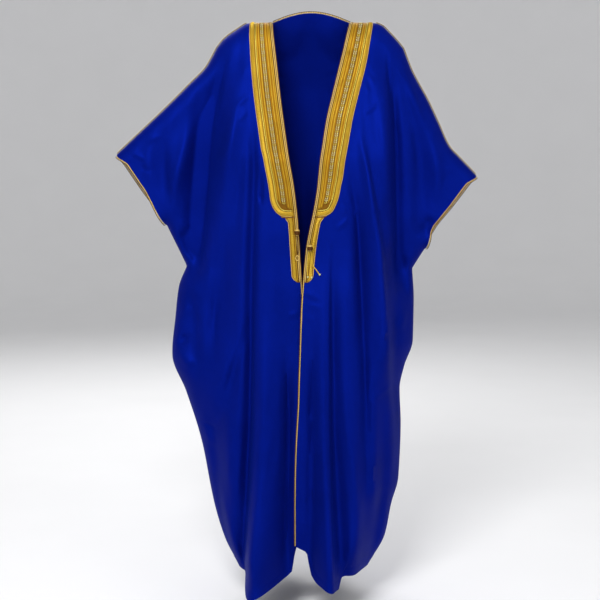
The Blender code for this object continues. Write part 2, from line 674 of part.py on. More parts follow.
def add_tube(name, centres, radius, across, up, finish_name):
    """A cord: one ring of points round each centre, in the plane of across and up."""
    bm = bmesh.new()
    place = bm.verts.layers.int.new("place")
    bmesh.ops.create_circle(bm, cap_ends=True, segments=CORD_SIDES, radius=1.0)
    for number, vert in enumerate(bm.verts):
        vert[place] = number
    ring = list(bm.verts)
    bm.faces.ensure_lookup_table()
    end = bm.faces[0]
    for index, centre in enumerate(centres):
        if index:
            grown = bmesh.ops.extrude_face_region(bm, geom=[end])["geom"]
            if index > 1:
                bmesh.ops.delete(bm, geom=[end], context="FACES_ONLY")
            ring = [item for item in grown if isinstance(item, bmesh.types.BMVert)]
            end = [item for item in grown if isinstance(item, bmesh.types.BMFace)][0]
        for vert in ring:
            angle = 2.0 * math.pi * vert[place] / CORD_SIDES
            vert.co = (centre + radius * math.cos(angle) * across[index]
                       + radius * math.sin(angle) * up[index])
    return add_object(name, bm, finish_name)


def add_edge_cord(name, edge, normal, inward, radius, finish_name, end_planes=(None, None)):
    """A cord beside a panel's edge: inward points from the edge into the panel."""
    along = tangents(edge)
    out = np.cross(along, normal)
    out = unit(out * -np.sign((out * inward).sum(axis=-1, keepdims=True)))
    up = unit(np.cross(out, along))
    up = up * np.sign((up * normal).sum(axis=-1, keepdims=True))
    centres = edge + out * (radius + LAY_GAP)
    for index, plane in zip((0, -1), end_planes):
        if plane is not None:
            centres[index, 1] = plane
            out[index] = unit(out[index] * (1.0, 0.0, 1.0))
            up[index] = unit(up[index] * (1.0, 0.0, 1.0))
    add_tube(name, centres, radius, out, up, finish_name)


def add_shoulder_cord(name, side, panel):
    """The cord that covers the seam from the band over the shoulder to the sleeve's tip."""
    last = ROWS.index(side.tip)
    start = BAND_EDGE_COLUMN + 2
    line = np.concatenate((panel.points[0, start:-1], panel.points[:last, -1]))
    normal = np.concatenate((panel.normals[0, start:-1], panel.normals[:last, -1]))
    centres = line + normal * (SHOULDER_CORD_RADIUS + LAY_GAP)
    centres[:, 1] = 0.0
    along = tangents(centres)
    across = np.tile((0.0, 1.0, 0.0), (len(centres), 1))
    add_tube(name, centres, SHOULDER_CORD_RADIUS, across, unit(np.cross(along, across)),
             "gold_cord")


def add_cuff_cord(name, side, points, normal, inward):
    """The cord along one lip of a sleeve's open end."""
    rows = [i for i, drop in enumerate(ROWS) if side.at("open", drop) > CUFF_OPEN]
    add_edge_cord(name, points[rows], normal[rows], inward[rows], EDGE_CORD_RADIUS, "gold_cord")


def bead_place(side, drop, across):
    """Centre of a tie's bead: clear of the cord and the band below it."""
    width = np.array(across)
    spot = front_point(side, np.array(drop), width)
    clear = BEAD_OFF + max(BAND_WALL + LAY_GAP, EDGE_CORD_RADIUS) + BEAD_RADIUS
    return spot - np.array((0.0, clear, 0.0))


def add_bead(name, centre):
    """A bead wound from thread: a barrel with a waist at each end."""
    bm = bmesh.new()
    bmesh.ops.create_uvsphere(bm, u_segments=BEAD_SIDES, v_segments=BEAD_RINGS, radius=1.0)
    for vert in bm.verts:
        swell = 1.0 if abs(vert.co.z) < BEAD_SHOULDER else BEAD_WAIST
        vert.co.x *= BEAD_RADIUS * swell
        vert.co.y *= BEAD_RADIUS * swell
        vert.co.z *= BEAD_LENGTH / 2
    bmesh.ops.translate(bm, verts=bm.verts[:], vec=centre)
    add_object(name, bm, "brown_cord")


def tie_path(side, bead, points):
    """Centre line of a hanging tie, just off the cloth and band behind it."""
    rows = []
    for point in points:
        x = bead[0] + point.left
        z = bead[2] - point.down
        drop = -z
        width = side.sign * x - float(side.at("inner_x", drop))
        surface = front_point(side, np.array(drop), np.array(max(width, 0.0)))[1]
        lift = BAND_WALL + 2 * LAY_GAP + TIE_OFF + TIE_CORD_RADIUS
        rows.append((x, float(surface) - lift - point.off, z))
    rows = np.array(rows)
    along = np.concatenate(([0.0], np.cumsum(np.linalg.norm(np.diff(rows, axis=0), axis=1))))
    at = np.linspace(0.0, along[-1], TIE_STEPS + 1)
    return np.stack([flowing(along, rows[:, axis], at) for axis in range(3)], axis=-1)


def add_tie(name, path, finish_name):
    """A hanging tie cord as a curve with a round section."""
    curve = bpy.data.curves.new(name, "CURVE")
    curve.dimensions = "3D"
    curve.bevel_depth = TIE_CORD_RADIUS
    curve.bevel_resolution = 2
    curve.use_fill_caps = True
    spline = curve.splines.new("POLY")
    spline.points.add(len(path) - 1)
    for point, place in zip(spline.points, path):
        point.co = (*place, 1.0)
    curve.materials.append(finish(finish_name))
    thing = bpy.data.objects.new(name, curve)
    bpy.context.scene.collection.objects.link(thing)


def add_loop(name, top):
    """The small loop at the end of the right tie, that goes over the other bead."""
    bm = bmesh.new()
    bmesh.ops.create_circle(bm, cap_ends=False, segments=CORD_SIDES, radius=TIE_CORD_RADIUS)
    bmesh.ops.translate(bm, verts=bm.verts[:], vec=(LOOP_RADIUS, 0.0, 0.0))
    for vert in bm.verts:
        vert.co = (vert.co.x, 0.0, vert.co.y)
    bmesh.ops.spin(bm, geom=bm.verts[:] + bm.edges[:], cent=(0, 0, 0), axis=(0, 0, 1),
                   angle=2 * math.pi, steps=LOOP_SEGMENTS, use_merge=True)
    for vert in bm.verts:
        x, y, z = vert.co
        vert.co = (x, z, LOOP_STRETCH * y)
    drop = LOOP_STRETCH * (LOOP_RADIUS + TIE_CORD_RADIUS) + LAY_GAP
    bmesh.ops.translate(bm, verts=bm.verts[:], vec=top - np.array((0.0, 2 * TIE_OFF, drop)))
    add_object(name, bm, "gold_cord")


def neck_line(back, middle):
    """Points, normals and inward directions along the back of the neck, to its two ends."""
    rim = slice(middle - NECK_COLUMN, middle + NECK_COLUMN + 1)
    inward = back.points[1, rim] - back.points[0, rim]
    lines = [back.points[0, rim].copy(), back.normals[0, rim].copy(), inward]
    for line in lines:
        line[0] = line[1] + NECK_CORD_END * (line[0] - line[1])
        line[-1] = line[-2] + NECK_CORD_END * (line[-1] - line[-2])
    return lines


def build():
    clear_objects()
    back = back_panel()
    add_panel("back_panel", back)
    middle = back.points.shape[1] // 2
    neck = slice(middle - BAND_COLUMN, middle + BAND_COLUMN + 1)
    add_band("neck_band", back, slice(0, ROWS.index(NECK_BAND_DEPTH) + 1), neck)
    neckline = neck_line(back, middle)
    add_edge_cord("neck_cord", neckline[0], neckline[1], neckline[2], EDGE_CORD_RADIUS,
                  "brown_cord")
    plane = SEAM_GAP + CORD_CLEAR

    wide_end = ROWS.index(WIDE_BAND_END)
    narrow_end = ROWS.index(NARROW_BAND_END)
    for side, word, back_edge in ((RIGHT, "right", 0), (LEFT, "left", -1)):
        panel = front_panel(side)
        add_panel(f"front_{word}", panel)
        add_band(f"lapel_band_{word}", panel, slice(0, wide_end + 1), slice(0, 4))
        lower = Panel(panel.points.copy(), panel.normals)
        seam = BAND_SEAM / (ROWS[wide_end + 1] - ROWS[wide_end])
        lower.points[wide_end] += seam * (panel.points[wide_end + 1] - panel.points[wide_end])
        add_band(f"lower_band_{word}", lower, slice(wide_end, narrow_end + 1), slice(0, 2))
        add_edge_cord(f"edge_cord_{word}", panel.points[:, 0], panel.normals[:, 0],
                      panel.points[:, 1] - panel.points[:, 0], EDGE_CORD_RADIUS, "brown_cord",
                      (-plane, None))
        add_shoulder_cord(f"shoulder_cord_{word}", side, panel)
        add_cuff_cord(f"cuff_cord_{word}_front", side, panel.points[:, -1],
                      panel.normals[:, -1], panel.points[:, -2] - panel.points[:, -1])
        beside = 1 if back_edge == 0 else -2
        add_cuff_cord(f"cuff_cord_{word}_back", side, back.points[:, back_edge],
                      back.normals[:, back_edge],
                      back.points[:, beside] - back.points[:, back_edge])

    right_bead = bead_place(RIGHT, RIGHT_BEAD_DROP, 0.0)
    left_bead = bead_place(LEFT, LEFT_BEAD_DROP, LEFT_BEAD_ACROSS)
    add_bead("tie_bead_right", right_bead)
    add_bead("tie_bead_left", left_bead)
    right_path = tie_path(RIGHT, right_bead, RIGHT_TIE)
    add_tie("tie_cord_right", right_path, "brown_cord")
    add_loop("tie_loop_right", right_path[-1])
    for number, points in enumerate(LEFT_TIES, start=1):
        add_tie(f"tie_cord_left_{number}", tie_path(LEFT, left_bead, points), "gold_cord")


build()
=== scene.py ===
"""Open-front cloak robe with gold bands: its looks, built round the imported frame.

Metres, +Z up, the front towards -Y, the wearer's right side at -X. The drape is the part's own:
the same sections, shoulder lines, hems and folds, at finer stations, with the small folds and
creases that only the looks need. Everything sewn on lies on points of that cloth, moved out.
"""
import math
from typing import NamedTuple

import bmesh
import bpy
import numpy as np
from bpy.props import FloatProperty, FloatVectorProperty, PointerProperty
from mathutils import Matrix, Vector


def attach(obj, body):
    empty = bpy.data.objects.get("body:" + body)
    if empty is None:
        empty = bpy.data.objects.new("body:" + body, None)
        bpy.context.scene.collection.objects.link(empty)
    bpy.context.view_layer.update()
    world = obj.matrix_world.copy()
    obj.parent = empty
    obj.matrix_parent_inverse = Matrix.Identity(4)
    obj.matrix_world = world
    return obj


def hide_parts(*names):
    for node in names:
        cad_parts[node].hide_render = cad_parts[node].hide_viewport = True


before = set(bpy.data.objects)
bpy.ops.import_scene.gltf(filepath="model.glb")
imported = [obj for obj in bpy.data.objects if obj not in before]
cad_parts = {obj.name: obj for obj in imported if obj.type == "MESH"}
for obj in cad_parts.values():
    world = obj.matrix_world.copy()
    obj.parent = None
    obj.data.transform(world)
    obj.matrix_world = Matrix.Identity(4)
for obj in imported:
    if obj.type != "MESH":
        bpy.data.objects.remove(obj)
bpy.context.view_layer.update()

bl_info = {
    "name": "Cloak Robe",
    "version": (1, 0, 0),
    "blender": (4, 5, 0),
    "location": "View3D > Sidebar > Robe",
    "description": "Dresses the open-front cloak robe: cloth, gold bands, cords and ties",
    "category": "Object",
}

# Walls and gaps
CLOTH_WALL = 0.0020
BAND_WALL = 0.0018
SEAM_GAP = 0.0004
LAY_GAP = 0.0004

# Cords, beads and ties
EDGE_CORD_RADIUS = 0.0020
TIE_CORD_RADIUS = 0.0013
BEAD_RADIUS = 0.0062
BEAD_LENGTH = 0.0150
BEAD_OFF = 0.0007
LOOP_RADIUS = 0.0042
LOOP_STRETCH = 1.35
TIE_OFF = 0.0003

# Bands
NARROW_BAND = 0.020
WIDE_BAND_END = 0.469
NARROW_BAND_END = 0.625
NECK_BAND_DEPTH = 0.052
BAND_SEAM = 0.0006
STIFF_END = 0.450
STIFF_FADE = 0.080
STIFF_EDGE = 0.030

# Neck, chest and hem
NAPE_RISE = 0.030
BACK_HEM = -1.385
NECK_FORM = ((0.096, 0.030), (0.086, 0.058), (0.064, 0.080), (0.034, 0.091), (0.0, 0.094))
CHEST_FULL = 0.130
CHEST_GONE = 0.290
CHEST_REACH = 0.100
CREST_FADE = 0.120
HEM_START = 0.950
LIP_IN = 0.013
LIP_UP = 0.006
SEAM_FLAT = 0.0003
SEWN = 0.01

# Folds: where they may start, how deep they may cut, and how they widen downwards
FOLD_EDGE = 0.045
FOLD_LIMIT = 0.45
FOLD_END = 0.100
FOLD_SPREAD = 0.7
FOLD_WIDENS = 0.6
BACK_FOLD_START = 0.050
BACK_FOLD_FADE = 0.120

# Smoothness of the drawn surface
NORMAL_STEP = 0.0002
SMOOTH_ANGLE = 60
TINY = 1e-12

# Heights of the rows, measured down each front edge from the neck
ROWS = (
    0.000, 0.006, 0.018, 0.034, NECK_BAND_DEPTH, 0.080, 0.115, 0.150, 0.190, 0.230, 0.265,
    0.300, 0.310, 0.335, 0.370, 0.380, 0.405, 0.440, 0.456, WIDE_BAND_END, 0.480, 0.512,
    0.545, 0.580, 0.600, NARROW_BAND_END, 0.660, 0.700, 0.760, 0.820, 0.880, 0.940, 1.000,
    1.060, 1.120, 1.180, 1.240, 1.290)
HEM_DROP = ROWS[-1]

# Columns of a row: under the band, across the middle, round the turn
BAND_EDGE_COLUMN = 3
MIDDLE_COLUMNS = 12
TURN_COLUMNS = 4
TURN_SHARE = 0.45
NECK_SHARES = (0.34, 0.62, 0.82, 0.94, 1.0)
NECK_COLUMN = len(NECK_SHARES)
BACK_MIDDLE_COLUMNS = 5
SHOULDER_STEPS = 60
OVER_STEPS = 120
BELOW_STEPS = 240


def table(kind, *rows):
    """Rows of one kind, written in thousandths: of a metre, or of a share."""
    return tuple(kind(*(round(value / 1000, 6) for value in row)) for row in rows)


class Section(NamedTuple):
    """One section of a side; x is measured from the middle towards that side."""
    drop: float     # height of the front edge below the neck
    inner_x: float  # front edge
    outer_x: float  # outline: shoulder line, sleeve end, side
    outer_z: float
    seam_y: float   # where front and back meet
    turn: float     # radius of the turn from front to back
    front: float    # depth of the front before the seam
    back: float     # depth of the back behind the seam
    open: float     # 1 where the sleeve's end is open
    corner: float   # 1 where the outline has a corner


def side_sections(*rows):
    """The sections of a side: each row has eight lengths in millimetres, then two flags."""
    return table(Section, *((*row[:8], 1000 * row[8], 1000 * row[9]) for row in rows))


RIGHT_SECTIONS = side_sections(
    (0, 99, 232, -59, 0, 55, 60, 62, 0, 0),
    (30, 96.5, 245, -83, 0, 54, 64, 72, 0, 0),
    (60, 93, 261, -109, 0, 52, 70, 84, 0, 0),
    (110, 87, 299, -147, 0, 47, 82, 98, 0, 0),
    (180, 79, 351, -198, 0, 40, 106, 112, 0, 0),
    (300, 62.5, 485, -322, 0, 36, 133, 120, 0, 1),
    (330, 58, 464, -352, 0, 36, 138, 121, 1, 0),
    (400, 46, 426, -409, 0, 38, 143, 122, 1, 0),
    (480, 37, 362, -498, 4, 44, 150, 120, 0, 1),
    (580, 30.5, 315, -601, 20, 62, 168, 112, 0, 1),
    (650, 26, 336, -655, 20, 80, 170, 114, 0, 0),
    (730, 24, 346, -735, 20, 105, 172, 122, 0, 0),
    (820, 22, 355, -825, 22, 120, 176, 130, 0, 0),
    (920, 20.5, 321, -922, 28, 125, 182, 138, 0, 0),
    (1050, 22, 283, -1052, 34, 115, 180, 148, 0, 0),
    (1190, 27, 253, -1216, 40, 105, 165, 156, 0, 0),
    (1245, 31, 226, -1311, 40, 98, 156, 160, 0, 0),
    (1290, 35, 190, -1385, 40, 92, 148, 164, 0, 0),
)
LEFT_SECTIONS = side_sections(
    (0, 97, 226, -62, 0, 55, 60, 62, 0, 0),
    (30, 89, 234, -83, 0, 54, 64, 72, 0, 0),
    (60, 82, 247, -115, 0, 52, 70, 84, 0, 0),
    (110, 69.5, 263, -145, 0, 50, 82, 98, 0, 0),
    (180, 52, 288, -189, 0, 46, 106, 112, 0, 0),
    (240, 38, 315, -245, 0, 40, 122, 117, 0, 0),
    (300, 28.5, 342, -301, 0, 37, 133, 120, 0, 0),
    (340, 22.5, 373, -334, 0, 36, 139, 121, 0, 0),
    (370, 19.5, 412, -374, 0, 36, 141, 122, 0, 1),
    (400, 16.5, 393, -400, 0, 36, 143, 122, 1, 0),
    (460, 6.5, 352, -455, 2, 38, 148, 121, 1, 0),
    (500, -2, 316, -502, 6, 44, 153, 119, 1, 0),
    (545, -10, 285, -559, 14, 54, 162, 116, 0, 1),
    (600, -15.5, 256, -607, 20, 66, 173, 112, 0, 1),
    (690, -22.2, 261, -689, 20, 85, 184, 118, 0, 0),
    (790, -25.5, 260, -789, 22, 105, 188, 128, 0, 0),
    (860, -28, 239, -857, 26, 110, 192, 134, 0, 0),
    (915, -29.5, 228, -915, 28, 112, 195, 138, 0, 0),
    (1018, -35, 232, -1018, 32, 112, 194, 146, 0, 0),
    (1120, -38, 228, -1149, 38, 108, 186, 152, 0, 0),
    (1190, -38.5, 210, -1222, 40, 102, 179, 156, 0, 0),
    (1245, -38.5, 194, -1305, 40, 95, 170, 160, 0, 0),
    (1290, -38.5, 150, -1385, 40, 88, 162, 164, 0, 0),
)


class CrestPoint(NamedTuple):
    """A point of the shoulder line between the neck and the first outline row."""
    x: float
    z: float


RIGHT_CREST = table(
    CrestPoint, (99, 0), (150, 0), (189, -20), (216, -40), (232, -59))
LEFT_CREST = table(
    CrestPoint, (97, 0), (152, 0), (172, -6), (192, -24), (211, -44), (226, -62))


class HemPoint(NamedTuple):
    """How far the hem hangs below a straight line, across a front panel from its edge."""
    across: float
    drop: float


RIGHT_HEM = table(
    HemPoint, (0, 0), (20, 4), (70, 62), (160, 68), (300, 68), (550, 66), (680, 58), (800, 20),
    (1000, 0))
LEFT_HEM = table(
    HemPoint, (0, 0), (130, 1), (190, 52), (250, 62), (520, 54), (600, 22), (720, 12), (1000, 0))


class BandRow(NamedTuple):
    """Width of the wide band, and of the column that carries its edge on below it."""
    drop: float
    right: float
    left: float


BAND_ROWS = (
    BandRow(0.000, 0.057, 0.060), BandRow(0.080, 0.059, 0.059), BandRow(0.200, 0.060, 0.059),
    BandRow(0.425, 0.059, 0.053), BandRow(0.440, 0.056, 0.050), BandRow(0.456, 0.047, 0.045),
    BandRow(WIDE_BAND_END, 0.034, 0.030), BandRow(0.530, 0.048, 0.048),
    BandRow(0.620, 0.058, 0.058), BandRow(1.290, 0.046, 0.050))


class BackColumn(NamedTuple):
    """Distance from the middle of the back of the columns at the neck and the band's edge."""
    drop: float
    neck: float
    band: float


BACK_COLUMNS = (
    BackColumn(0.000, 0.098, 0.151), BackColumn(0.006, 0.097, 0.150),
    BackColumn(0.018, 0.093, 0.144), BackColumn(0.034, 0.086, 0.128),
    BackColumn(NECK_BAND_DEPTH, 0.078, 0.098), BackColumn(0.115, 0.090, 0.125),
    BackColumn(0.600, 0.085, 0.120), BackColumn(1.290, 0.056, 0.080))


class Fold(NamedTuple):
    """A trough or ridge: its line through three points, its rise, and its two flanks."""
    top_x: float
    top_z: float
    mid_x: float
    mid_z: float
    low_x: float
    low_z: float
    rise_mid: float
    rise_low: float
    outer_flank: float
    inner_flank: float
    lean: float


RIGHT_FOLDS = table(
    Fold,
    # shoulder, sleeve and underarm
    (236, -85, 268, -280, 276, -540, -22, -20, 34, 36, 0),
    (285, -200, 338, -370, 345, -520, 16, 0, 28, 26, 0),
    (176, -80, 205, -330, 272, -600, 16, 18, 34, 36, 0),
    # side of the skirt
    (203, -480, 228, -680, 250, -860, -16, 0, 24, 30, 0),
    (316, -640, 303, -780, 288, -880, -14, 0, 20, 22, 0),
    (160, -780, 205, -930, 262, -1060, -12, 0, 22, 26, 0),
    # long fold from the band to the hem, and the trough behind its outer edge
    (100, -520, 104, -950, 118, -1420, 24, 78, 34, 34, 380),
    (135, -170, 146, -620, 166, -1420, -18, -30, 16, 14, 0),
    (58, -700, 56, -1000, 56, -1420, -10, -12, 14, 14, 0),
    (205, -900, 205, -1150, 200, -1420, 16, 22, 20, 20, 0),
)
LEFT_FOLDS = table(
    Fold,
    # shoulder, sleeve and underarm
    (198, -75, 207, -300, 212, -560, -22, -22, 24, 22, 0),
    (255, -160, 302, -330, 315, -470, 14, 0, 26, 26, 0),
    (165, -90, 176, -300, 180, -500, 12, 0, 22, 24, 0),
    # long ridge from the band's foot to the side, with the trough before it
    (112, -240, 160, -560, 206, -1080, 22, 10, 14, 22, 200),
    (88, -330, 119, -650, 138, -1300, -18, -10, 20, 18, 0),
    # front fold from the band to the hem, and the trough along its outer edge
    (24, -480, 28, -900, 36, -1420, 18, 62, 23, 24, 220),
    (54, -470, 56, -850, 62, -1420, -10, -8, 14, 10, 0),
    (100, -900, 108, -1150, 116, -1420, 14, 20, 20, 20, 0),
    (178, -850, 172, -1100, 160, -1420, -12, -16, 18, 18, 0),
)
BACK_FOLDS = table(
    Fold,
    # from the right side to the left, x towards the left side
    (-255, -120, -278, -330, -275, -540, -18, -14, 36, 36, 0),
    (-205, -140, -235, -600, -215, -1420, 18, 30, 32, 34, 0),
    (-150, -160, -165, -700, -150, -1420, -20, -28, 26, 26, 0),
    (-85, -260, -88, -800, -85, -1420, 16, 32, 30, 28, 0),
    (-26, -200, -22, -750, -20, -1420, -16, -26, 26, 24, 0),
    (40, -300, 46, -850, 46, -1420, 16, 30, 28, 26, 0),
    (96, -180, 106, -700, 102, -1420, -20, -26, 24, 26, 0),
    (158, -150, 172, -620, 156, -1420, 18, 26, 26, 28, 0),
    (206, -110, 214, -330, 212, -540, -18, -14, 30, 30, 0),
)

# Ties: the beads' places down the front edges, and in from them
RIGHT_BEAD_DROP = 0.505
LEFT_BEAD_DROP = 0.542
LEFT_BEAD_ACROSS = 0.005


class TiePoint(NamedTuple):
    """A point of a hanging tie, from the bead: to the left, down, and off the cloth."""
    left: float
    down: float
    off: float


RIGHT_TIE = table(
    TiePoint, (0, 7.9, 4.6), (1.2, 18, 0.4), (1.8, 32, 0), (1.6, 44, 0), (0.8, 54, 0.1))
LEFT_TIES = (
    table(TiePoint, (-3.2, 8, 4), (-4.2, 22, 0.2), (-5, 40, 0), (-5.6, 56, 0.1), (-5.2, 70, 0.2)),
    table(TiePoint, (0, 7.9, 4.6), (0, 24, 0.3), (0.8, 42, 0), (3.2, 56, 0.1), (4.4, 71, 0.3)),
    table(TiePoint, (3.2, 8, 4), (4.6, 24, 0.2), (8, 42, 0), (15, 52, 0.2), (23.5, 64, 0.4)),
)


class Crease(NamedTuple):
    """A short crease in front view: its two ends, its rise and its half width."""
    x: float
    z: float
    to_x: float
    to_z: float
    rise: float
    half: float


# Small folds over the main ones
RIGHT_FINE_FOLDS = table(
    Fold,
    # double trough down from the shoulder into the underarm
    (205, -70, 226, -173, 250, -290, -6.5, 0, 9, 8, 0),
    (216, -55, 262, -290, 290, -560, -15, -19, 16, 16, 0),
    # lit ridges between that trough and the band
    (180, -100, 212, -369, 252, -560, 8, 6, 20, 20, 0),
    (168, -140, 192, -286, 212, -380, 7, 0, 16, 18, 0),
    (128, -160, 136, -357, 144, -600, -8, -6, 13, 10, 0),
    (170, -280, 179, -440, 199, -560, -6, 0, 14, 16, 0),
    # sleeve
    (286, -215, 321, -357, 342, -445, 9, 0, 16, 18, 0),
    (362, -270, 358, -393, 346, -470, -6, 0, 16, 12, 0),
    (400, -290, 402, -350, 392, -410, 4, 0, 14, 14, 0),
    # side and skirt
    (301, -640, 290, -742, 283, -880, -8, 0, 10, 13, 0),
    (229, -630, 244, -755, 260, -930, -6, 0, 14, 16, 0),
    (150, -700, 194, -853, 230, -970, -7, 0, 12, 15, 0),
    (144, -560, 145, -865, 164, -1420, -8, -6, 12, 7, 0),
    (104, -600, 104, -964, 108, -1420, 5, 5, 28, 24, 0),
    (62, -760, 54, -964, 58, -1300, -10, -8, 11, 7, 0),
    (36, -640, 34, -900, 38, -1200, 3, 3, 8, 8, 0),
    (240, -1060, 221, -1216, 180, -1400, 8, 7, 12, 15, 0),
    (262, -900, 246, -1060, 226, -1240, -5, -4, 10, 12, 0),
)
LEFT_FINE_FOLDS = table(
    Fold,
    # sharp trough down from the shoulder into the underarm, forked at its top
    (196, -70, 204, -310, 212, -600, -15, -13, 13, 7, 0),
    (182, -65, 190, -157, 200, -260, -6, 0, 7, 7, 0),
    (176, -130, 182, -310, 190, -520, 7, 6, 12, 20, 0),
    # diagonal ridge from the band, dark on its outer side, and the trough before it
    (108, -250, 141, -404, 166, -600, 8, 6, 8, 16, 0),
    (130, -300, 148, -428, 164, -560, -6, 0, 9, 6, 0),
    (164, -560, 181, -821, 214, -1040, 7, 5, 7, 18, 0),
    (88, -330, 113, -505, 124, -700, -8, -7, 12, 8, 0),
    (124, -640, 133, -927, 148, -1260, -8, -6, 8, 12, 0),
    # sleeve
    (214, -85, 248, -173, 285, -300, 6, 0, 10, 14, 0),
    (240, -190, 262, -330, 268, -480, -5, -4, 16, 14, 0),
    (305, -300, 312, -370, 304, -450, 5, 0, 12, 14, 0),
    # sharp line beside the front lobe, and the trough behind the edge
    (49, -480, 46, -804, 48, -1420, -7, -5, 12, 5, 0),
    (0, -700, -2, -915, -2, -1300, -7, -7, 7, 8, 0),
    (19, -640, 22, -989, 28, -1420, 5, 6, 11, 10, 0),
    (78, -600, 87, -989, 101, -1420, 5, 6, 20, 16, 0),
    (205, -640, 210, -760, 206, -880, -6, 0, 10, 12, 0),
    (150, -1040, 150, -1180, 140, -1400, 6, 6, 14, 12, 0),
    (186, -1020, 184, -1150, 170, -1320, -5, -5, 10, 12, 0),
)
BACK_FINE_FOLDS = table(
    Fold,
    (-262, -130, -290, -330, -285, -500, -8, -6, 12, 14, 0),
    (-330, -220, -352, -330, -345, -440, 6, 0, 14, 16, 0),
    (-214, -160, -240, -560, -228, -1420, -6, -8, 10, 14, 0),
    (-182, -220, -196, -620, -184, -1420, 6, 8, 12, 12, 0),
    (-128, -300, -134, -700, -118, -1300, -6, -6, 10, 13, 0),
    (-70, -500, -66, -860, -60, -1420, 5, 7, 12, 10, 0),
    (-12, -340, -6, -760, 2, -1420, -7, -9, 9, 13, 0),
    (24, -560, 30, -900, 26, -1420, 5, 7, 11, 10, 0),
    (70, -360, 80, -760, 76, -1420, -6, -8, 12, 9, 0),
    (118, -260, 128, -640, 122, -1320, 6, 6, 12, 12, 0),
    (186, -240, 196, -560, 184, -1420, -7, -8, 12, 10, 0),
    (222, -150, 236, -300, 230, -470, 6, 4, 12, 12, 0),
    (280, -220, 296, -320, 290, -430, 5, 0, 14, 12, 0),
    (-300, -660, -292, -780, -270, -960, -7, 0, 12, 14, 0),
    (228, -640, 226, -780, 212, -940, -6, 0, 10, 12, 0),
)
RIGHT_CREASES = table(
    Crease,
    (140, -104, 172, -128, 2.2, 5),
    (140, -172, 184, -206, 2.6, 6),
    (150, -214, 176, -240, 1.6, 5),
    (446, -312, 410, -334, 2.6, 6),
    (408, -286, 366, -276, 2.2, 5.5),
    (424, -352, 392, -362, -2.2, 6),
    (332, -486, 296, -500, 3, 6.5),
    (330, -505, 300, -580, -15, 16),
    (336, -796, 306, -764, -14, 10),
    (330, -812, 292, -846, 6, 11),
    (330, -720, 302, -690, 5, 9),
    (280, -990, 232, -1006, -4.5, 5),
    (268, -1010, 244, -1056, 4, 8),
    (58, -708, 34, -698, 3.4, 4.5),
    (120, -350, 122, -450, -11, 6),
    (28, -760, 50, -772, 1.6, 4),
    (30, -900, 48, -915, 1.4, 4),
)
LEFT_CREASES = table(
    Crease,
    (118, -112, 154, -156, 2.6, 4.5),
    (124, -98, 150, -118, 1.6, 4),
    (116, -140, 140, -176, 1.8, 4),
    (122, -224, 158, -200, 2.6, 4.5),
    (56, -500, 90, -472, 2.6, 4.5),
    (72, -384, 96, -446, 2.4, 5),
    (64, -438, 88, -462, 1.6, 4),
    (-16, -645, 16, -668, 2.8, 4.5),
    (-12, -676, 24, -685, 2.2, 4.5),
    (-8, -633, 6, -659, 1.4, 3.5),
    (-18, -700, 8, -722, 1.6, 4),
    (140, -922, 196, -883, 2.8, 4.5),
    (276, -530, 300, -470, -10, 16),
    (228, -565, 238, -680, -15, 12),
    (240, -700, 214, -760, 5, 9),
    (148, -36, 192, -68, 3, 5.5),
    (206, -110, 230, -150, 2, 5),
    (350, -352, 318, -362, 2, 6),
    (-26, -1170, -12, -1150, 1.8, 5),
    (-24, -1220, -10, -1232, 1.6, 5),
)
BACK_CREASES = table(
    Crease,
    (-300, -480, -268, -520, -7, 11),
    (236, -560, 212, -640, -6, 11),
    (-400, -300, -360, -310, 2.2, 6),
    (330, -340, 300, -356, 2, 6),
    (-110, -115, -60, -130, 1.8, 5.5),
    (40, -125, 100, -112, 1.8, 5.5),
    (-320, -790, -282, -760, -6, 10),
    (230, -800, 200, -840, 3, 7),
    (-100, -900, -50, -880, 2, 5.5),
    (90, -1020, 150, -990, 2, 5.5),
)

# Fine stations
ROW_PITCH = 0.0062
FRONT_SPLITS = (3, 3, 3) + (7,) * 12 + (4,) * 4
BACK_SPLITS = (3,) * 6 + (11,) * 5 + (4,) * 4
HEM_TURN = 0.016
HEM_RISE = 0.0006
RIPPLE = 0.0010
FOLD_GAIN = 1.7
CREASE_GAIN = 1.4
FINE_START = 0.600
FINE_FADE = 0.060
FINE_EDGE = 0.022
FINE_SPREAD = 0.020


# ---------------------------------------------------------------- the drape


def ease(value):
    """0 to 1 with soft ends."""
    value = np.clip(value, 0.0, 1.0)
    return value * value * (3.0 - 2.0 * value)


def flowing(places, values, at, corners=()):
    """A curve through values at places that never overshoots, smooth but at its corners."""
    places = np.asarray(places, float)
    values = np.asarray(values, float)
    steps = np.diff(places)
    slopes = np.diff(values) / steps
    product = slopes[:-1] * slopes[1:]
    total = np.where(product > 0.0, slopes[:-1] + slopes[1:], 1.0)
    middle = np.where(product > 0.0, 2.0 * product / total, 0.0)
    leaving = np.concatenate(([slopes[0]], middle, [slopes[-1]]))
    arriving = leaving.copy()
    for index in corners:
        arriving[index] = slopes[index - 1]
        leaving[index] = slopes[index]
    at = np.clip(np.asarray(at, float), places[0], places[-1])
    index = np.clip(np.searchsorted(places, at, side="right") - 1, 0, len(steps) - 1)
    step = steps[index]
    t = (at - places[index]) / step
    return ((1.0 + 2.0 * t) * (1.0 - t) ** 2 * values[index]
            + t * (1.0 - t) ** 2 * step * leaving[index]
            + t * t * (3.0 - 2.0 * t) * values[index + 1]
            + t * t * (t - 1.0) * step * arriving[index + 1])


def from_table(rows, column, at, key="drop"):
    """One named column of a table, read between its rows."""
    corners = ()
    if column in ("outer_x", "outer_z"):
        corners = [i for i, row in enumerate(rows) if row.corner]
    places = [getattr(row, key) for row in rows]
    return flowing(places, [getattr(row, column) for row in rows], at, corners)


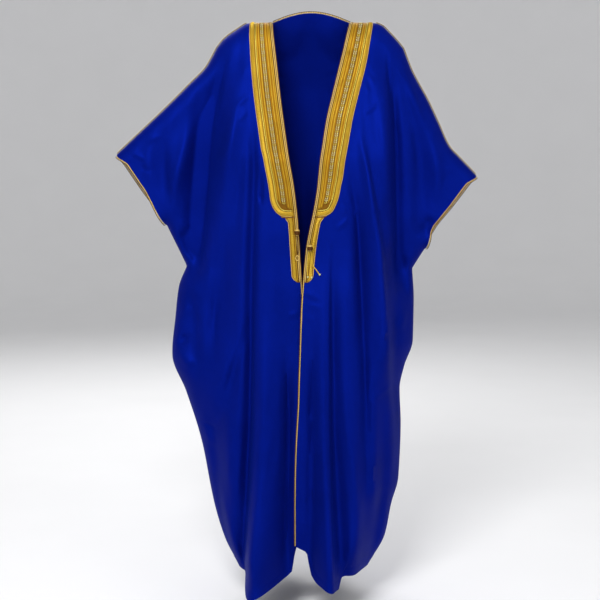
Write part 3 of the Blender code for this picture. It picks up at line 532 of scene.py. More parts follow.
class Side:
    """One side of the robe: its tables and its outline."""

    def __init__(self, sign, sections, crest, hem, band_column, folds, fine):
        self.sign = sign
        self.folds = folds
        self.fine = fine
        self.sections = sections
        self.crest = crest
        self.hem = hem
        self.band_column = band_column
        self.tip, self.cuff_end = [row.drop for row in sections if row.corner][:2]
        shoulder_x = np.linspace(crest[0].x, crest[-1].x, SHOULDER_STEPS)[:-1]
        shoulder = np.stack((shoulder_x, self.crest_z(shoulder_x)), axis=-1)
        over = np.concatenate((shoulder, self.outline_points(0.0, self.tip, OVER_STEPS)))
        below = self.outline_points(self.cuff_end, sections[-1].drop, BELOW_STEPS)
        self.seams = (over, below)
        self.back_seams = (np.concatenate((np.array(NECK_FORM[::-1]), over)), below)

    def at(self, column, drop):
        return from_table(self.sections, column, drop)

    def outline_points(self, first, last, count):
        drops = np.linspace(first, last, count)
        return np.stack((self.at("outer_x", drops), self.at("outer_z", drops)), axis=-1)

    def crest_z(self, x):
        return from_table(self.crest, "z", x, key="x")

    def band(self, drop):
        return from_table(BAND_ROWS, self.band_column, drop)


RIGHT = Side(-1, RIGHT_SECTIONS, RIGHT_CREST, RIGHT_HEM, "right", RIGHT_FOLDS,
             (RIGHT_FINE_FOLDS, RIGHT_CREASES))
LEFT = Side(1, LEFT_SECTIONS, LEFT_CREST, LEFT_HEM, "left", LEFT_FOLDS,
            (LEFT_FINE_FOLDS, LEFT_CREASES))


def distance_to(seams, x, z):
    """Shortest distance in front view from each point to the sewn outline."""
    points = np.stack((x, z), axis=-1)[..., None, :]
    reach = np.inf
    for seam in seams:
        start = seam[:-1]
        run = np.diff(seam, axis=0)
        length = np.maximum((run ** 2).sum(axis=1), TINY)
        along = np.clip(((points - start) * run).sum(axis=-1) / length, 0.0, 1.0)
        nearest = start + along[..., None] * run
        apart = np.sqrt(((points - nearest) ** 2).sum(axis=-1)).min(axis=-1)
        reach = np.minimum(reach, apart)
    return np.maximum(reach - SEAM_FLAT, 0.0)


def fold_rise(fold, x, z):
    """How far one fold lifts the cloth at each point."""
    heights = (-fold.top_z, -fold.mid_z, -fold.low_z)
    line = flowing(heights, (fold.top_x, fold.mid_x, fold.low_x), -z)
    upper = fold.rise_mid * ease((fold.top_z - z) / (fold.top_z - fold.mid_z))
    lower = ease((fold.mid_z - z) / (fold.mid_z - fold.low_z))
    rise = upper + (fold.rise_low - fold.rise_mid) * lower
    away = x - line
    flank = np.where(away > 0.0, fold.outer_flank, fold.inner_flank)
    down = np.clip((fold.top_z - z) / (fold.top_z - fold.low_z), 0.0, 1.0)
    spread = FOLD_SPREAD + FOLD_WIDENS * down
    lasts = ease(1.0 + (z - fold.low_z) / FOLD_END)
    return rise * lasts * np.exp(-(away / (flank * spread)) ** 2)


def crease_rise(crease, x, z):
    """How far one short crease lifts the cloth at each point."""
    run_x, run_z = crease.to_x - crease.x, crease.to_z - crease.z
    t = ((x - crease.x) * run_x + (z - crease.z) * run_z) / (run_x ** 2 + run_z ** 2)
    t = np.clip(t, 0.0, 1.0)
    apart = np.hypot(x - crease.x - t * run_x, z - crease.z - t * run_z)
    taper = ease(3.0 * t) * ease(3.0 * (1.0 - t))
    return crease.rise * taper * np.exp(-(apart / crease.half) ** 2)


def ripples(x, z):
    """Faint unevenness that runs down the cloth."""
    wide = np.sin(2 * math.pi * (x / 0.047 + 0.5 * np.sin(5.1 * z) + 0.3))
    narrow = np.sin(2 * math.pi * (x / 0.027 + z / 0.33 + 0.4 * np.sin(7.3 * z + 9.0 * x)))
    patch = 0.5 + 0.5 * np.sin(8.3 * z + 11.0 * x)
    return RIPPLE * (wide * patch + 0.5 * narrow * (1.0 - patch))


def fine_lift(folds, creases, x, z):
    """Small folds, creases and ripples together."""
    lift = ripples(x, z)
    for fold in folds:
        lift = lift + FOLD_GAIN * fold_rise(fold, x, z)
    for crease in creases:
        lift = lift + CREASE_GAIN * crease_rise(crease, x, z)
    return lift


def hem_step(drop):
    """The turned-up hem stands a little proud of the cloth above it."""
    return HEM_RISE * ease((drop - (HEM_DROP - HEM_TURN)) / 0.002)


def folded(folds, x, z, hold):
    """Sideways shift and lift of all folds together, held still where hold is 0."""
    shift = np.zeros_like(x)
    lift = np.zeros_like(x)
    for fold in folds:
        rise = hold * fold_rise(fold, x, z)
        lift = lift + rise
        shift = shift + fold.lean * np.maximum(rise, 0.0)
    return shift, lift


def turned(reach, turn):
    """Depth of the quarter turn at a seam."""
    share = np.clip(reach / turn, 0.0, 1.0)
    return turn * np.sqrt(np.clip(1.0 - (1.0 - share) ** 2, 0.0, 1.0))


def wall_depth(side, column, drop, x, reach):
    """How far a panel stands off its seams: the turn there, then the chest or the back."""
    turn = side.at("turn", drop)
    full = ease((CHEST_GONE - x) / (CHEST_GONE - CHEST_FULL)) * ease(reach / CHEST_REACH)
    return SEAM_GAP / 2 + turned(reach, turn) + (side.at(column, drop) - turn) * full


def front_point(side, drop, width):
    """Point of a front panel: how far down its edge, and how far in from it."""
    opened = side.at("open", drop)
    inner_x = side.at("inner_x", drop)
    outer_x = side.at("outer_x", drop)
    outer_z = side.at("outer_z", drop)
    outer_x = outer_x - LIP_IN * opened
    outer_z = outer_z + LIP_UP * opened
    across = width / row_length(side, drop)
    chord_z = -drop + (outer_z + drop) * across
    x = inner_x + (outer_x - inner_x) * across
    first_x = side.crest[0].x + (side.crest[-1].x - side.crest[0].x) * across
    bulge = side.crest_z(first_x) - side.crest[-1].z * across
    hang = from_table(side.hem, "drop", across, key="across")
    z = (chord_z + bulge * (1.0 - ease(drop / CREST_FADE))
         - hang * ease((drop - HEM_START) / (HEM_DROP - HEM_START)))
    reach = distance_to(side.seams, x, z)
    depth = wall_depth(side, "front", drop, x, reach)
    band = side.band(drop)
    on_band = 1.0 - ease((drop - STIFF_END) / STIFF_FADE)
    stiff = 1.0 - on_band * (1.0 - ease((width - band) / STIFF_EDGE))
    hold = stiff * ease(reach / FOLD_EDGE)
    shift, lift = folded(side.folds, x, z, hold)
    fine = 1.0 - ease((drop - FINE_START) / FINE_FADE)
    fine = hold * (1.0 - fine * (1.0 - ease((width - FINE_EDGE) / FINE_SPREAD)))
    lift = lift + fine * fine_lift(*side.fine, x, z)
    lift = np.maximum(lift, -FOLD_LIMIT * depth)
    y = side.at("seam_y", drop) - depth - lift
    return np.stack((side.sign * (x + shift), y, z), axis=-1)


def row_length(side, drop):
    """Length of a front panel's row in front view."""
    run = side.at("outer_x", drop) - side.at("inner_x", drop)
    rise = side.at("outer_z", drop) + drop
    return np.sqrt(run ** 2 + rise ** 2)


def back_point(side, drop, width):
    """Point of the back panel: how far down, and how far out from its middle line."""
    outer_x = side.at("outer_x", drop)
    outer_z = side.at("outer_z", drop)
    middle_z = NAPE_RISE + drop * (BACK_HEM - NAPE_RISE) / HEM_DROP
    across = width / outer_x
    x = width
    neck_x = side.crest[0].x
    first_x = side.crest[-1].x * across
    neckline = NAPE_RISE * (1.0 - (np.minimum(first_x, neck_x) / neck_x) ** 2)
    first_z = np.where(first_x < neck_x, neckline, side.crest_z(first_x))
    first_chord = NAPE_RISE + (side.crest[-1].z - NAPE_RISE) * across
    bulge = (first_z - first_chord) * (1.0 - ease(drop / CREST_FADE))
    z = middle_z + (outer_z - middle_z) * across + bulge
    reach = distance_to(side.back_seams, x, z)
    depth = wall_depth(side, "back", drop, x, reach)
    hold = ease(reach / FOLD_EDGE) * ease((drop - BACK_FOLD_START) / BACK_FOLD_FADE)
    signed_x = side.sign * x
    shift, lift = folded(BACK_FOLDS, signed_x, z, hold)
    lift = lift + hold * fine_lift(BACK_FINE_FOLDS, BACK_CREASES, signed_x, z)
    lift = np.maximum(lift, -FOLD_LIMIT * depth)
    y = side.at("seam_y", drop) + depth + lift
    return np.stack((signed_x + shift, y, z), axis=-1)


def front_widths(side, drop):
    """Widths in from the front edge of the columns of one row."""
    band = side.band(drop)
    inner = [0.0, NARROW_BAND, 0.5 * (NARROW_BAND + band), band]
    return outer_widths(side, drop, row_length(side, drop), inner, MIDDLE_COLUMNS)


def outer_widths(side, drop, length, inner, count):
    """A row's inner columns, then those across the middle, and round the turn at even angles."""
    band = inner[-1]
    turn = min(side.at("turn", drop), TURN_SHARE * (length - band))
    flat = length - band - turn
    middle = [band + flat * i / count for i in range(1, count + 1)]
    angles = [math.pi / 2 * (1.0 - i / TURN_COLUMNS) for i in range(1, TURN_COLUMNS + 1)]
    around = [length - turn * (1.0 - math.cos(angle)) for angle in angles]
    return np.array(inner + middle + around)


def back_widths(side, drop):
    """Widths out from the middle of the back of the columns of one row."""
    neck = from_table(BACK_COLUMNS, "neck", drop)
    inner = [0.0, *(share * neck for share in NECK_SHARES), from_table(BACK_COLUMNS, "band", drop)]
    return outer_widths(side, drop, side.at("outer_x", drop), inner, BACK_MIDDLE_COLUMNS)


def unit(vectors):
    return vectors / np.maximum(np.linalg.norm(vectors, axis=-1, keepdims=True), TINY)


def normals(point, side, drops, widths, limits):
    """Outward normals of a panel at each grid point, from small steps along its surface."""
    low = np.maximum(drops - NORMAL_STEP, 0.0)
    high = np.minimum(drops + NORMAL_STEP, HEM_DROP)
    near = np.maximum(widths - NORMAL_STEP, 0.0)
    far = np.minimum(widths + NORMAL_STEP, limits)
    down = point(side, high, widths) - point(side, low, widths)
    out = point(side, drops, far) - point(side, drops, near)
    return unit(np.cross(down, out)) * side.sign


def square_to_seam(side, points, normal, closed):
    """Where two panels are sewn, the wall turns square to the seam line."""
    along = directions(points * (1.0, 0.0, 1.0))
    square = side.sign * np.stack((-along[:, 2], 0.0 * along[:, 1], along[:, 0]), axis=-1)
    return np.where(closed[:, None], square, normal)


def directions(paths):
    """Direction along each path at each of its points."""
    steps = unit(np.diff(paths, axis=-2))
    middle = steps[..., :-1, :] + steps[..., 1:, :]
    return unit(np.concatenate((steps[..., :1, :], middle, steps[..., -1:, :]), axis=-2))


def square_seams(side, drops, points, normal, first):
    """Square the wall along the shoulder, from column first, and down the outline."""
    closed = side.at("open", drops[:, -1]) < SEWN
    normal[:, -1] = square_to_seam(side, points[:, -1], normal[:, -1], closed)
    shoulder = np.concatenate((points[0, first:], points[1:2, -1]))
    sewn = np.ones(len(shoulder), bool)
    normal[0, first:] = square_to_seam(side, shoulder, shoulder, sewn)[:-1]


def on_front(side, drops, widths):
    """Outer points and outward normals of a front panel at any places on it."""
    drops, widths = np.broadcast_arrays(np.asarray(drops, float), np.asarray(widths, float))
    limits = row_length(side, drops)
    return (front_point(side, drops, widths),
            normals(front_point, side, drops, widths, limits))


def on_back(side, drops, widths):
    """Outer points and outward normals of one half of the back at any places on it."""
    drops, widths = np.broadcast_arrays(np.asarray(drops, float), np.asarray(widths, float))
    limits = side.at("outer_x", drops)
    return (back_point(side, drops, widths),
            -normals(back_point, side, drops, widths, limits))


class Panel(NamedTuple):
    """A panel's fine grid: outer points, outward normals, and the flat places of its cloth."""
    points: np.ndarray
    normals: np.ndarray
    places: np.ndarray


def fine_rows():
    """The part's rows split to the fine pitch, with close ones where the hem is turned up."""
    rows = []
    for low, high in zip(ROWS[:-1], ROWS[1:]):
        count = math.ceil((high - low) / ROW_PITCH)
        rows.extend(np.linspace(low, high, count, endpoint=False))
    turn = HEM_DROP - HEM_TURN
    rows = [row for row in rows if abs(row - turn) > 2 * HEM_EASE]
    return np.array(sorted(rows + [turn - HEM_EASE, turn, turn + HEM_EASE, HEM_DROP]))


def split_widths(widths, splits):
    """A row's column widths, each gap between them split into its own number of steps."""
    gaps = zip(widths[:-1], widths[1:], splits)
    parts = [np.linspace(low, high, count, endpoint=False) for low, high, count in gaps]
    return np.concatenate(parts + [widths[-1:]])


def fine_half(side, widths_of, splits, surface, first):
    """Fine grid of a front panel, or of half of the back."""
    rows = fine_rows()
    widths = np.array([split_widths(widths_of(side, row), splits) for row in rows])
    drops = np.repeat(rows[:, None], widths.shape[1], axis=1)
    points, normal = surface(side, drops, widths)
    square_seams(side, drops, points, normal, first)
    points = points + normal * hem_step(drops)[..., None]
    return Panel(points, normal, np.stack((side.sign * widths, drops), axis=-1))


def front_panel(side):
    return fine_half(side, front_widths, FRONT_SPLITS, on_front, 0)


def back_panel():
    """Fine grid of the whole back, from the right seam to the left one."""
    first = sum(BACK_SPLITS[:NECK_COLUMN])
    right = fine_half(RIGHT, back_widths, BACK_SPLITS, on_back, first)
    left = fine_half(LEFT, back_widths, BACK_SPLITS, on_back, first)
    middle = 0.5 * (right.points[:, :1] + left.points[:, :1])
    middle_normal = unit((right.normals[:, :1] + left.normals[:, :1]) * (0.0, 1.0, 1.0))
    return Panel(
        np.concatenate((right.points[:, :0:-1], middle, left.points[:, 1:]), axis=1),
        np.concatenate((right.normals[:, :0:-1], middle_normal, left.normals[:, 1:]), axis=1),
        np.concatenate((right.places[:, :0:-1], left.places), axis=1))


# Hem, and how fine the meshes are
HEM_EASE = 0.0015
CLOTH_MAP = "cloth"
WELD = 1e-6

# Cords: turns a metre, steps along twisted and plain ones, radii
CORD_WIND = 83.0
CORD_GROOVE = 0.42
CORD_STEP = 0.0014
LANE_STEP = 0.0040
PALE_CORD = 0.00135
BROWN_CORD = 0.00100
PALE_ASIDE = 0.00175
BROWN_ASIDE = 0.00395
SHOULDER_PALE = 0.0014
SHOULDER_BROWN = 0.0010
CUFF_CLEAR = 0.0094
TIE_WIND = 110.0
TIE_GROOVE = 0.38
TIE_FINE_STEPS = 60

# Beads: first and last height of the rings, how many, the form's radius and half length, and
# how far off it they lie; and the rings of a collar and of a knot, each a height and a radius
BEAD_CORE = (0.0058, 0.0058)
BEAD_SHORT = 0.0006
BEAD_BODY = (-0.0054, 0.0030, 9, 0.0062, 0.0082, 0.0002)
BEAD_CAP = (0.0040, 0.0068, 4, 0.0064, 0.0086, 0.0001)
BEAD_COLLAR = [(-0.0062, 0.0030), (-0.0070, 0.0021)]
BODY_THREAD = 0.00062
CAP_THREAD = 0.00056
KNOT = ((0.0026, 0.0012), (0.0018, 0.0018), (0.0008, 0.0020), (-0.0002, 0.0018),
        (-0.0010, 0.0012))
KNOT_THREAD = 0.0005
RING_SIDES = 20

# Bands, across from the front edge: three cords, the field, the outer border
BAND_TOP = 0.0016
INNER_CORDS = 0.0070
OUTER_BORDER = 0.0160
BAND_FOOT_START = 0.452
BAND_FOOT = ((0.0440, 0.4610), (0.0370, 0.4652), (0.0280, 0.4678), (0.0180, 0.4684),
             (0.0040, 0.4684))
FIELD_END = 0.452
FIELD_CURVE = 0.024
NECK_BAND_WIDE = 0.057
NECK_BAND_NARROWS = 0.004
BRAID_AT = 0.54
BRAID_GAP = 0.012
BRAID_HALF = 0.120
BRAID_SLANT = 0.0050
BRAID_PITCH = 0.0052
BRAID_RADIUS = 0.0011
BRAID_PALE_EVERY = 3
LOWER_FLARE = 0.006
LOWER_FLARE_END = 0.483
LOWER_TAPER = 0.012
LOWER_TAPER_START = 0.608
LOWER_CORD = 0.00085
LOWER_CORD_IN = 0.0009
LOWER_RIB_END = 0.0022
RIB_OUT = 0.0012
RIB_IN = 0.0132
RIB_PITCH = 0.0021
SCALLOP_OFF = 0.0004
SCALLOP_DEPTH = 0.0010
SCALLOP_PITCH = 0.0050
SCALLOP_RADIUS = 0.0007

# Steps along a band's outer edge, and how often the edge is smoothed
EDGE_STEPS = 150
EVEN_STEPS = 480
EDGE_SMOOTHINGS = 60
CORNER_STEPS = 60

# Numbers of a band's finishes
GROUND, LIGHT, AMBER, BRIGHT, SILVER, PALE, BROWN = range(7)


class Lane(NamedTuple):
    """A cord or thread along a band: where it lies, its radius, its finish, if it is twisted."""
    way: str
    at: float
    radius: float
    finish: int
    twisted: bool


BAND_LANES = (
    Lane("inner", 0.0016, 0.00125, PALE, True),
    Lane("inner", 0.0040, 0.00090, BROWN, True),
    Lane("inner", 0.0058, 0.00080, LIGHT, False),
    Lane("field", 0.020, 0.00090, AMBER, False),
    Lane("field", 0.078, 0.00090, LIGHT, False),
    Lane("field", 0.136, 0.00090, AMBER, False),
    Lane("field", 0.194, 0.00095, AMBER, False),
    Lane("field", 0.252, 0.00090, LIGHT, False),
    Lane("field", 0.310, 0.00095, AMBER, False),
    Lane("field", 0.366, 0.00090, AMBER, False),
    Lane("field", 0.408, 0.00060, BROWN, False),
    Lane("field", 0.680, 0.00060, BROWN, False),
    Lane("field", 0.724, 0.00090, AMBER, False),
    Lane("field", 0.780, 0.00090, LIGHT, False),
    Lane("field", 0.836, 0.00095, AMBER, False),
    Lane("field", 0.892, 0.00090, AMBER, False),
    Lane("field", 0.946, 0.00090, LIGHT, False),
    Lane("outer", 0.0146, 0.00110, BRIGHT, True),
)
INNER_LANES = 3  # these go on down the narrow band

SIDES = ((RIGHT, "right"), (LEFT, "left"))

# Stage
CAMERA_AT = (-0.0283, -3.135, -0.303)
CAMERA_DOWN = 6.97
LENS_MM = 75.0
KEY_AT = (-0.65, -2.65, 1.60)
FILL_AT = (2.4, -2.0, 0.2)
BACK_AT = (-0.7, 2.9, 1.5)
BACK_SHARE = 4.5
FLOOR_Z = -1.470
FLOOR_REACH = 13.0
FLOOR_FLAT = 6.0
FLOOR_BEND = 2.5
FLOOR_STEPS = 40
LIT = (0.0, 0.0, -0.6)


def piece_name(node):
    """The name of the piece that stands for a solid."""
    return f"{node}_piece"


# ---------------------------------------------------------------- walls and threads


class Work:
    """One piece in the making: walls and threads go in, a finished piece comes out."""

    def __init__(self, node, finishes):
        self.node = node
        self.finishes = finishes
        self.bm = bmesh.new()
        self.place = self.bm.verts.layers.int.new("place")
        self.uv = self.bm.loops.layers.uv.new(CLOTH_MAP)

    def grid(self, rows, columns, finish):
        """A flat grid of faces in one finish; each vertex keeps its place, row by row."""
        verts = bmesh.ops.create_grid(
            self.bm, x_segments=columns - 1, y_segments=rows - 1, size=0.5)["verts"]
        for vert in verts:
            row = round((vert.co.y + 0.5) * (rows - 1))
            column = round((vert.co.x + 0.5) * (columns - 1))
            vert[self.place] = row * columns + column
        faces = list(dict.fromkeys(face for vert in verts for face in vert.link_faces))
        for face in faces:
            face.material_index = finish
        return verts, faces

    def wall(self, outer, inner, places, finish=0):
        """A thin closed wall between two equal grids of points."""
        columns = outer.shape[1]
        verts, faces = self.grid(*outer.shape[:2], finish)
        raised = bmesh.ops.extrude_face_region(self.bm, geom=faces)["geom"]
        top = [item for item in raised if isinstance(item, bmesh.types.BMVert)]
        for group, points in ((verts, inner), (top, outer)):
            for vert in group:
                vert.co = points[divmod(vert[self.place], columns)]
        around = dict.fromkeys(face for vert in verts + top for face in vert.link_faces)
        for face in around:
            for loop in face.loops:
                loop[self.uv].uv = places[divmod(loop.vert[self.place], columns)]

    def threads(self, centres, across, up, radius, finish=0, sides=6, wind=0.0, groove=0.0):
        """Threads along paths, each path a row of centres; wind twists them, in turns a metre.

        groove is how deep the two strands of a twisted cord part.
        """
        count, steps = centres.shape[:2]
        run = np.linalg.norm(np.diff(centres, axis=1), axis=-1)
        along = np.concatenate((np.zeros((count, 1)), np.cumsum(run, axis=1)), axis=1)
        angle = np.linspace(0.0, 2.0 * math.pi, sides + 1)
        strand = 1.0 - groove * (1.0 - np.abs(np.cos(angle)))
        rim = np.broadcast_to(radius, (count, steps))[..., None] * strand
        turn = angle + 2.0 * math.pi * wind * along[..., None]
        points = (centres[..., None, :]
                  + (rim * np.cos(turn))[..., None] * across[..., None, :]
                  + (rim * np.sin(turn))[..., None] * up[..., None, :]).reshape(-1, 3)
        along = along.ravel()
        verts, faces = self.grid(count * steps, sides + 1, finish)
        for vert in verts:
            vert.co = points[vert[self.place]]
        between = []
        for face in faces:
            cells = [divmod(loop.vert[self.place], sides + 1) for loop in face.loops]
            if min(row for row, _ in cells) % steps == steps - 1:
                between.append(face)
                continue
            for loop, (row, column) in zip(face.loops, cells):
                loop[self.uv].uv = (column / sides, along[row])
        if between:
            bmesh.ops.delete(self.bm, geom=between, context="FACES_ONLY")
        bmesh.ops.remove_doubles(self.bm, verts=verts, dist=WELD)

    def piece(self, slot):
        """The finished piece, in place of its solid; slot is not used."""
        bmesh.ops.recalc_face_normals(self.bm, faces=self.bm.faces[:])
        mesh = bpy.data.meshes.new(piece_name(self.node))
        self.bm.to_mesh(mesh)
        self.bm.free()
        mesh.attributes.remove(mesh.attributes["place"])
        for finish in self.finishes:
            mesh.materials.append(finish)
        mesh.shade_smooth()
        mesh.set_sharp_from_angle(angle=math.radians(SMOOTH_ANGLE))
        thing = bpy.data.objects.new(mesh.name, mesh)
        bpy.context.scene.collection.objects.link(thing)
        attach(thing, "root")
        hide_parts(self.node)
        return thing


def laid(points, normal, lift, aside=0.0):
    """Centres, sideways and outward directions of threads that lie on cloth points."""
    along = directions(points)
    across = unit(np.cross(along, normal))
    up = unit(np.cross(across, along))
    return points + lift * up + aside * across, across, up


def closing(steps):
    """A thread's thickness along its length, rounded off at both ends."""
    full = np.ones(steps)
    full[[0, -1]] = 0.0
    full[[1, -2]] = 0.75
    return full


def lay_cord(work, surface, lift, radius, finish, aside=0.0, twisted=True):
    """One long cord on a path of cloth points."""
    centres, across, up = laid(*surface, lift, aside)
    shape = {"sides": 8, "wind": CORD_WIND, "groove": CORD_GROOVE} if twisted else {"sides": 6}
    work.threads(centres[None], across[None], up[None], radius * closing(len(centres))[None],
                 finish, **shape)


def lay_stitches(work, surface, lift, radius, finish):
    """Many short stitches that dip into the cloth at both ends."""
    points, normal = surface
    centres, across, up = laid(points, normal, lift)
    bow = closing(points.shape[1])
    centres = centres - up * (radius * (1.0 - bow))[..., None]
    work.threads(centres, across, up, radius * bow, finish, sides=5)


def stations(first, last, pitch):
    """Even stations no further apart than the pitch."""
    return np.linspace(first, last, max(6, math.ceil((last - first) / pitch) + 1))


# ---------------------------------------------------------------- bands


class Strip:
    """Places on a wide band: along it, and in from its inner edge or its outer edge."""

    def field(self, share, t):
        """Places between the inner edge's cords and the outer border."""
        wide = self.wide(t) - INNER_CORDS - OUTER_BORDER
        return self.inner(INNER_CORDS + share * wide, t)


class LapelStrip(Strip):
    """The strip down a front edge; t is the drop, or the way along the outer edge."""

    first = 0.0

    def __init__(self, side):
        self.side = side
        drops = np.linspace(0.0, BAND_FOOT_START, EDGE_STEPS)
        line = np.concatenate((np.stack((side.band(drops), drops), axis=-1), BAND_FOOT))
        for _ in range(2):
            along = lengths_along(line)
            even = np.linspace(0.0, along[-1], EVEN_STEPS)
            line = np.stack([np.interp(even, along, line[:, i]) for i in (0, 1)], axis=-1)
            for _ in range(EDGE_SMOOTHINGS):
                line[1:-1] = 0.25 * (line[:-2] + 2.0 * line[1:-1] + line[2:])
        self.line = line
        self.along = even
        way = directions(line)
        self.inward = np.stack((-way[:, 1], way[:, 0]), axis=-1)

    def read(self, path, t):
        return np.stack([np.interp(t, self.along, path[:, i]) for i in (0, 1)], axis=-1)

    def outer(self, offset, t):
        """Places this far in from the outer edge."""
        place = self.read(self.line, t) + np.asarray(offset)[..., None] * self.read(self.inward, t)
        return np.maximum(place[..., 1], 0.0), place[..., 0]

    def inner(self, offset, t):
        """Places this far in from the front edge."""
        return np.broadcast_arrays(np.asarray(t, float), np.asarray(offset, float))

    def wide(self, t):
        return self.side.band(t)

    def last_of(self, way, at):
        """Where a lane ends: at the band's foot, or at the front edge's cords."""
        if way == "inner":
            return WIDE_BAND_END + BAND_SEAM
        if way == "field":
            return FIELD_END - FIELD_CURVE * at ** 2
        _, widths = self.outer(np.full(len(self.along), at), self.along)
        return self.along[np.nonzero(widths > INNER_CORDS)[0][-1]]

    def on(self, place, _):
        return on_front(self.side, *place)


class NeckStrip(Strip):
    """The strip round the back of the neck; t runs both ways from the middle."""

    def __init__(self):
        drops = np.linspace(NECK_BAND_DEPTH, 0.0, CORNER_STEPS)
        corner = np.stack((from_table(BACK_COLUMNS, "band", drops), drops), axis=-1)
        self.corner = np.array((BACK_COLUMNS[0].neck, 0.0))
        self.line = np.concatenate(([(0.0, NECK_BAND_DEPTH)], corner))
        self.along = lengths_along(self.line)
        self.last = self.along[-1]
        self.first = -self.last

    def lane(self, share, t):
        """Places at a share of the band's depth, fanned round the neck's corner."""
        share, t = np.broadcast_arrays(np.asarray(share, float), np.abs(t))
        x, drop = (np.interp(t, self.along, self.line[:, i]) for i in (0, 1))
        straight = t < self.corner[0]
        x = np.where(straight, t, self.corner[0] + share * (x - self.corner[0]))
        return share * drop, x

    def wide(self, t):
        turned_by = np.clip((np.abs(t) - self.corner[0]) / (self.last - self.corner[0]), 0, 1)
        return NECK_BAND_WIDE - NECK_BAND_NARROWS * turned_by

    def outer(self, offset, t):
        return self.lane(1.0 - offset / self.wide(t), t)

    def inner(self, offset, t):
        return self.lane(offset / self.wide(t), t)

    def last_of(self, way, at):
        return self.last

    def on(self, place, t):
        return on_both_backs(*place, np.broadcast_to(t, place[0].shape))


def on_both_backs(drops, widths, ways):
    """Places on the back panel: on its left half where ways are above 0, else on its right."""
    left = on_back(LEFT, drops, widths)
    right = on_back(RIGHT, drops, widths)
    is_left = ways[..., None] >= 0.0
    return tuple(np.where(is_left, one, other) for one, other in zip(left, right))


def lengths_along(path):
    """Length along a path from its start to each of its points."""
    run = np.linalg.norm(np.diff(path, axis=0), axis=-1)
    return np.concatenate(([0.0], np.cumsum(run)))


def band_finishes(trim):
    """The finishes of a band's pieces, in the order of the numbers GROUND to BROWN."""
    return [thread_finish(name, colour, metal, rough) for name, colour, metal, rough in (
        ("band_ground", trim.ground, 0.4, 0.5), ("light_gold", trim.light, 0.55, 0.40),
        ("amber_gold", trim.amber, 0.5, 0.45), ("bright_gold", trim.bright, 0.55, 0.36),
        ("silver_thread", trim.silver, 0.3, 0.3), ("pale_thread", trim.pale, 0.2, 0.42),
        ("brown_thread", trim.brown, 0.15, 0.45))]


def lay_lanes(work, strip, lanes):
    """Cords and threads along a band."""
    for lane in lanes:
        last = strip.last_of(lane.way, lane.at)
        first = -last if strip.first else 0.0
        t = stations(first, last, CORD_STEP if lane.twisted else LANE_STEP)
        place = getattr(strip, lane.way)(np.full(len(t), lane.at), t)
        lay_cord(work, strip.on(place, t), BAND_TOP + 0.4 * lane.radius, lane.radius,
                 lane.finish, twisted=lane.twisted)


def lay_braid(work, strip):
    """Slanted stitches that meet in the middle of the band's field, like a row of V's."""
    last = strip.last_of("field", BRAID_AT) - 0.002
    first = -last if strip.first else 0.001
    t = stations(first, last, BRAID_PITCH)
    run = np.linspace(0.0, 1.0, 6)
    at = t[:, None] - run * BRAID_SLANT
    at = at[np.all((np.abs(at) < last) & (at > first), axis=1)]
    pale = np.arange(len(at)) % BRAID_PALE_EVERY > 0
    for way in (-1, 1):
        share = np.broadcast_to(BRAID_AT + way * (BRAID_GAP + run * BRAID_HALF), at.shape)
        place = strip.field(share, at)
        points, normal = strip.on(place, at)
        for chosen, finish in ((pale, SILVER), (~pale, BRIGHT)):
            lay_stitches(work, (points[chosen], normal[chosen]),
                         BAND_TOP + 0.5 * BRAID_RADIUS, BRAID_RADIUS, finish)


def lay_ribs(work, strip, radius):
    """Satin stitches across the band's outer border, and its scalloped edge."""
    last = strip.last_of("outer", RIB_IN) - 0.001
    first = -last if strip.first else 0.0
    t = stations(first, last, RIB_PITCH)[:, None]
    offset = np.linspace(RIB_OUT, RIB_IN, 7)
    place = strip.outer(*np.broadcast_arrays(offset, t))
    lay_stitches(work, strip.on(place, t), BAND_TOP + 0.3 * radius, radius, LIGHT)
    t = stations(first, last, LANE_STEP / 2)
    offset = SCALLOP_OFF + SCALLOP_DEPTH * np.abs(np.sin(math.pi * t / SCALLOP_PITCH))
    lay_cord(work, strip.on(strip.outer(offset, t), t), BAND_TOP, SCALLOP_RADIUS, PALE,
             twisted=False)


def lay_ground(work, surface, places):
    """The woven ground of a band, a thin wall just off the cloth."""
    points, normal = surface
    work.wall(points + normal * BAND_TOP, points + normal * LAY_GAP,
              np.stack(places, axis=-1), GROUND)


def wide_band(work, strip, trim):
    """The threads of a wide band, and the finished piece."""
    lay_lanes(work, strip, BAND_LANES)
    lay_braid(work, strip)
    lay_ribs(work, strip, trim.rib)
    return work.piece("gold_band")


def lapel_band(side, word, trim):
    """A wide band down the open neck."""
    work = Work(f"lapel_band_{word}", band_finishes(trim))
    drops = stations(0.0, WIDE_BAND_END, 0.003)[:, None]
    widths = side.band(drops) * np.linspace(0.0, 1.0, 17)
    drops = np.broadcast_to(drops, widths.shape)
    lay_ground(work, on_front(side, drops, widths), (widths, drops))
    return wide_band(work, LapelStrip(side), trim)


def neck_band(trim):
    """The same band round the back of the neck."""
    work = Work("neck_band", band_finishes(trim))
    strip = NeckStrip()
    t = stations(strip.first, strip.last, 0.003)[:, None]
    share = np.linspace(0.0, 1.0, 17)
    share, t = np.broadcast_arrays(share, t)
    lay_ground(work, strip.on(strip.lane(share, t), t), (share * NECK_BAND_WIDE, t))
    return wide_band(work, strip, trim)


def lower_wide(drop):
    """Width of the narrow band: flared where it leaves the wide one, rounded at its foot."""
    flare = 1.0 - ease((drop - WIDE_BAND_END) / (LOWER_FLARE_END - WIDE_BAND_END))
    foot = np.clip((drop - LOWER_TAPER_START) / (NARROW_BAND_END - LOWER_TAPER_START), 0.0, 1.0)
    return NARROW_BAND + LOWER_FLARE * flare - LOWER_TAPER * foot ** 2


